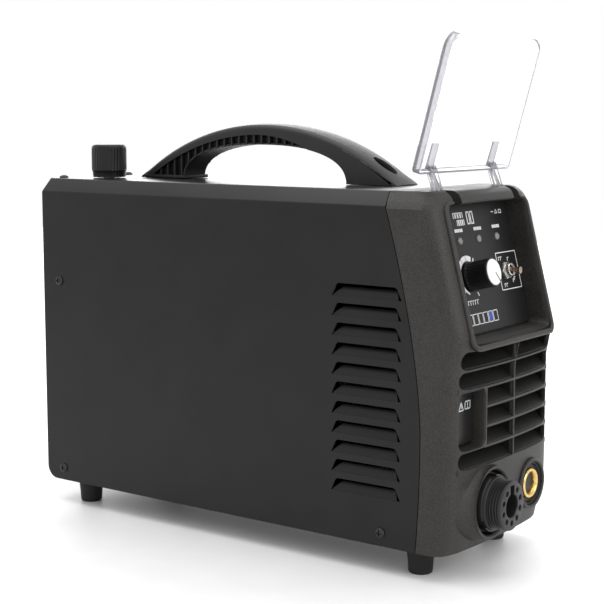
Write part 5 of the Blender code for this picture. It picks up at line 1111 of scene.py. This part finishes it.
def handle():
    web = [(HANDLE_FRONT + 0.006, SOLE)]
    for share in range(41):
        y = HANDLE_FRONT + 0.006 + (HANDLE_REAR - HANDLE_FRONT - 0.010) * share / 40
        web.append((y, outer_bow(y) - 0.0030))
    web.append((HANDLE_REAR - 0.004, SOLE))
    solid = combine(skin(), prism("web", web, "X", -0.0092, 0.0092), "UNION")
    front_foot = [(HANDLE_FRONT + 0.002, SOLE)]
    for share in range(12):
        y = HANDLE_FRONT + 0.002 + (FRONT_LEG + 0.004 - HANDLE_FRONT - 0.002) * share / 11
        front_foot.append((y, outer_bow(y) - 0.0040))
    front_foot.append((FRONT_LEG + 0.004, SOLE))
    combine(solid, prism("front_foot", front_foot, "X", -HANDLE_WIDE + 0.0001, HANDLE_WIDE - 0.0001), "UNION")
    y = FRONT_LEG + 0.0055
    while y < HANDLE_REAR - 0.008:
        combine(solid, block("rib", (-0.0128, y - 0.0006, SOLE), (0.0128, y + 0.0006,
                                                                  outer_bow(y) - 0.0035)), "UNION")
        y += 0.0070
    combine(solid, prism("inner_lip", inner_edge(0.0011) + inner_edge(-0.004)[::-1], "X", -0.0122, 0.0122),
            "UNION")
    opening = [(y, z - 0.0002) for y, z in inner_edge()]
    combine(solid, prism("opening", [(FRONT_LEG, SOLE - 0.01)] + opening + [(REAR_LEG, SOLE - 0.01)], "X",
                         -0.03, 0.03))
    for low_y, high_y in ((REAR_LEG - 0.0015, HANDLE_REAR - 0.004),
                          (HANDLE_FRONT + 0.006, FRONT_LEG + 0.0015)):
        plate = block("base_plate", (-HANDLE_WIDE - 0.0006, low_y, SOLE),
                      (HANDLE_WIDE + 0.0006, high_y, SOLE + 0.0025))
        combine(solid, soften(plate, 0.0006, 2), "UNION")
    for y in (HANDLE_REAR - FOOT_LONG * 0.45, HANDLE_FRONT + FOOT_LONG * 0.45):
        combine(solid, screw_recess(y))
    solid.name = "carrying_handle"
    return close_up(solid, 40)


handle_plastic = finish("handle_plastic", (0.0100, 0.0098, 0.0096), (0.0140, 0.0137, 0.0134), 0.42, 0.12,
                        1400, 0.00010,
                        strength=0.7, gloss=0.34)
fit(handle(), ["handle"], "unit", "black_plastic", handle_plastic)


# ---------------------------------------------------------------- regulator knob
# A deep black knob with fine upright flutes that presses down to lock, on the stem of the air regulator.
knob_low, knob_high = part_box("regulator_knob")
centre = (knob_low + knob_high) / 2
tall = knob_high.z - knob_low.z
regulator = fluted("regulator_grip",
                   [(0.0045, 0), (0.0124, 0), (0.0127, 0.0003), (0.0127, 0.0038), (0.0130, 0.0044),
                    (0.0133, 0.0052),
                    (0.0134, 0.0060), (0.0134, tall - 0.0036), (0.0133, tall - 0.0022),
                    (0.0128, tall - 0.0010),
                    (0.0118, tall - 0.0002), (0.0108, tall), (0.0080, tall - 0.0003), (0, tall - 0.0004)],
                   36, 0.0004, 0.0055, tall - 0.0030)
regulator.data.transform(Matrix.Translation((centre.x, centre.y, knob_low.z)))
fit(close_up(regulator, 30), ["regulator_knob"], "regulator_knob_body", "black_plastic", black_plastic)


# ---------------------------------------------------------------- case and handle screws
# Black pan-head screws with a cross recess hold the cover; deeper ones hold the handle.
black_zinc = finish("black_zinc", (0.030, 0.030, 0.032), (0.055, 0.055, 0.058), 0.30, 0.12, 600, 0.00001,
                    metallic=0.8)


def screw_head(node_name, out, radius, rise):
    """A domed head with a cross recess, standing where the screw's own head is."""
    low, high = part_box(node_name)
    out = Vector(out)
    middle = (low + high) / 2
    reach = abs((high - low).dot(out)) / 2
    top = middle + out * reach
    length = reach * 2
    dome = [(0, -length), (radius * 0.42, -length), (radius * 0.50, -length + 0.0008), (radius * 0.50, -rise),
            (radius, -rise)]
    dome += [(radius * math.cos(math.radians(turn)),
              -rise * 0.85 + rise * 0.85 * math.sin(math.radians(turn)))
             for turn in range(0, 86, 12)] + [(0, 0)]
    head = turned("screw_head", top, out, dome, 36)
    across = Vector((0, 0, 1)) if abs(out.z) < 0.5 else Vector((0, 1, 0))
    other = out.cross(across)
    for first, second in ((across, other), (other, across)):
        half = Vector([abs(value) for value in first * radius * 0.55 + second * radius * 0.13 + out * rise * 0.6])
        combine(head, block("slot", top - half, top + half))
    close_up(head)
    head.name = node_name + "_head"
    return head


for node_name in sorted(name for name in nodes if name.startswith(("side_screw", "top_screw"))):
    low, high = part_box(node_name)
    out = (0, 0, 1) if node_name.startswith("top") else (-1, 0, 0) if low.x < -0.05 else (1, 0, 0)
    fit(screw_head(node_name, out, 0.0036, 0.0022), [node_name], "unit", "zinc_steel", black_zinc)
for node_name in ("handle_screw_1", "handle_screw_2"):
    fit(screw_head(node_name, (0, 0, 1), 0.0046, 0.0030), [node_name], "unit", "zinc_steel", black_zinc)


# ---------------------------------------------------------------- rubber feet
# Four turned rubber feet with a rounded waist, each held by a screw from below.
foot_rubber = finish("foot_rubber", (0.0080, 0.0080, 0.0080), (0.0120, 0.0120, 0.0120), 0.62, 0.14, 800,
                     0.00010,
                     strength=0.7, gloss=0.3)
for place in ("front_left", "front_right", "rear_left", "rear_right"):
    low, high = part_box("foot_" + place)
    wide = (high.x - low.x) / 2
    tall = high.z - low.z
    rubber = turned("rubber_foot", ((low.x + high.x) / 2, (low.y + high.y) / 2, low.z), (0, 0, 1),
                    [(0.0030, 0.0030), (0.0032, 0.0012), (0.0040, 0), (wide * 0.74, 0), (wide * 0.81, 0.0006),
                     (wide * 0.84, 0.0018), (wide * 0.88, tall * 0.45), (wide * 0.95, tall - 0.0040),
                     (wide, tall - 0.0026), (wide, tall - 0.0004), (wide - 0.0006, tall), (0, tall)], 48)
    rubber.name = "rubber_foot_" + place
    fit(rubber, ["foot_" + place], "unit", "rubber", foot_rubber)


# ---------------------------------------------------------------- everything kept from the frame
# The base tray, the rear fittings and what stands inside the case keep their shape.
# Each gets the finish of its real material: painted steel, moulded plastic, plated metal, rubber or board.
aluminium = finish("aluminium", (0.46, 0.46, 0.48), (0.56, 0.56, 0.58), 0.36, 0.12, 700, 0.00002,
                   metallic=1.0)
dark_aluminium = finish("cast_aluminium", (0.30, 0.30, 0.31), (0.40, 0.40, 0.41), 0.45, 0.12, 900, 0.00005,
                        metallic=1.0)
copper = finish("enamelled_copper", (0.42, 0.15, 0.06), (0.55, 0.22, 0.09), 0.34, 0.12, 600, 0.00004,
                metallic=0.9)
board_green = finish("circuit_board", (0.010, 0.045, 0.018), (0.016, 0.065, 0.026), 0.40, 0.10, 500, 0.00002)
hose_blue = finish("air_hose", (0.012, 0.035, 0.14), (0.018, 0.050, 0.19), 0.38, 0.10, 400, 0.00003)
capacitor_skin = finish("capacitor_sleeve", (0.010, 0.018, 0.05), (0.014, 0.024, 0.065), 0.35, 0.08, 500,
                        0.00002)
paint(case_paint, "base_tray", "rear_panel")
paint(black_plastic, "cable_gland", "fan_frame", "fan_rotor", "power_switch_body", "power_rocker",
      "toggle_switch_body")
paint(zinc, "fan_guard", "potentiometer", "solenoid_valve", "pressure_gauge")
paint(polished_brass, "air_inlet_nipple")
paint(aluminium, "heat_sink")
paint(dark_aluminium, "regulator_body")
paint(copper, "main_transformer", "output_choke")
paint(board_green, "power_board", "control_board")
paint(hose_blue, "inlet_hose", "outlet_hose", "torch_hose")
paint(capacitor_skin, "capacitor_1", "capacitor_2")
paint(clear_acrylic(), "regulator_bowl")


# ---------------------------------------------------------------- floor, light and camera
# The unit stands on a plain pale floor under a soft overhead panel and two side panels.
def area(name, place, target, size, power):
    data = bpy.data.lights.new(name, "AREA")
    data.shape = "RECTANGLE"
    data.size, data.size_y = size
    data.energy = power
    lamp = bpy.data.objects.new(name, data)
    lamp.location = place
    lamp.rotation_euler = (Vector(target) - Vector(place)).to_track_quat("-Z", "Y").to_euler()
    scene.collection.objects.link(lamp)


floor = block("floor", (-2.2, -2.2, -0.02), (2.2, 2.2, 0.0))
floor.data.materials.append(finish("pale_floor", (0.86, 0.86, 0.86), (0.88, 0.88, 0.88), 0.55, 0.05, 60,
                                   0.0001,
                                   strength=0.1))
floor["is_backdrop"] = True
world = bpy.data.worlds.new("studio")
scene.world = world
world.use_nodes = True
world.node_tree.nodes["Background"].inputs["Color"].default_value = (1.0, 1.0, 1.0, 1)
world.node_tree.nodes["Background"].inputs["Strength"].default_value = 1.0
MIDDLE = Vector((0, 0, 0.14))
area("overhead_panel", (0.0, 0.1, 1.6), MIDDLE, (1.6, 1.8), 14)
area("back_panel", (3.2, 2.3, 1.0), MIDDLE, (4.6, 2.2), 95)
area("front_panel", (-0.2, -1.9, 1.0), MIDDLE, (1.2, 1.0), 12)

camera_data = bpy.data.cameras.new("camera")
camera_data.sensor_width = 36
camera_data.lens = 85.57
camera_data.dof.use_dof = False
camera = bpy.data.objects.new("camera", camera_data)
camera.location = (-0.8403, -0.6337, 0.3024)
heading, drop = math.radians(53.685), math.radians(7.489)
looking = Vector((math.sin(heading) * math.cos(drop), math.cos(heading) * math.cos(drop), -math.sin(drop)))
camera.rotation_euler = looking.to_track_quat("-Z", "Y").to_euler()
scene.collection.objects.link(camera)
scene.camera = camera
scene.view_settings.view_transform = "Standard"

low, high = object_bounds()
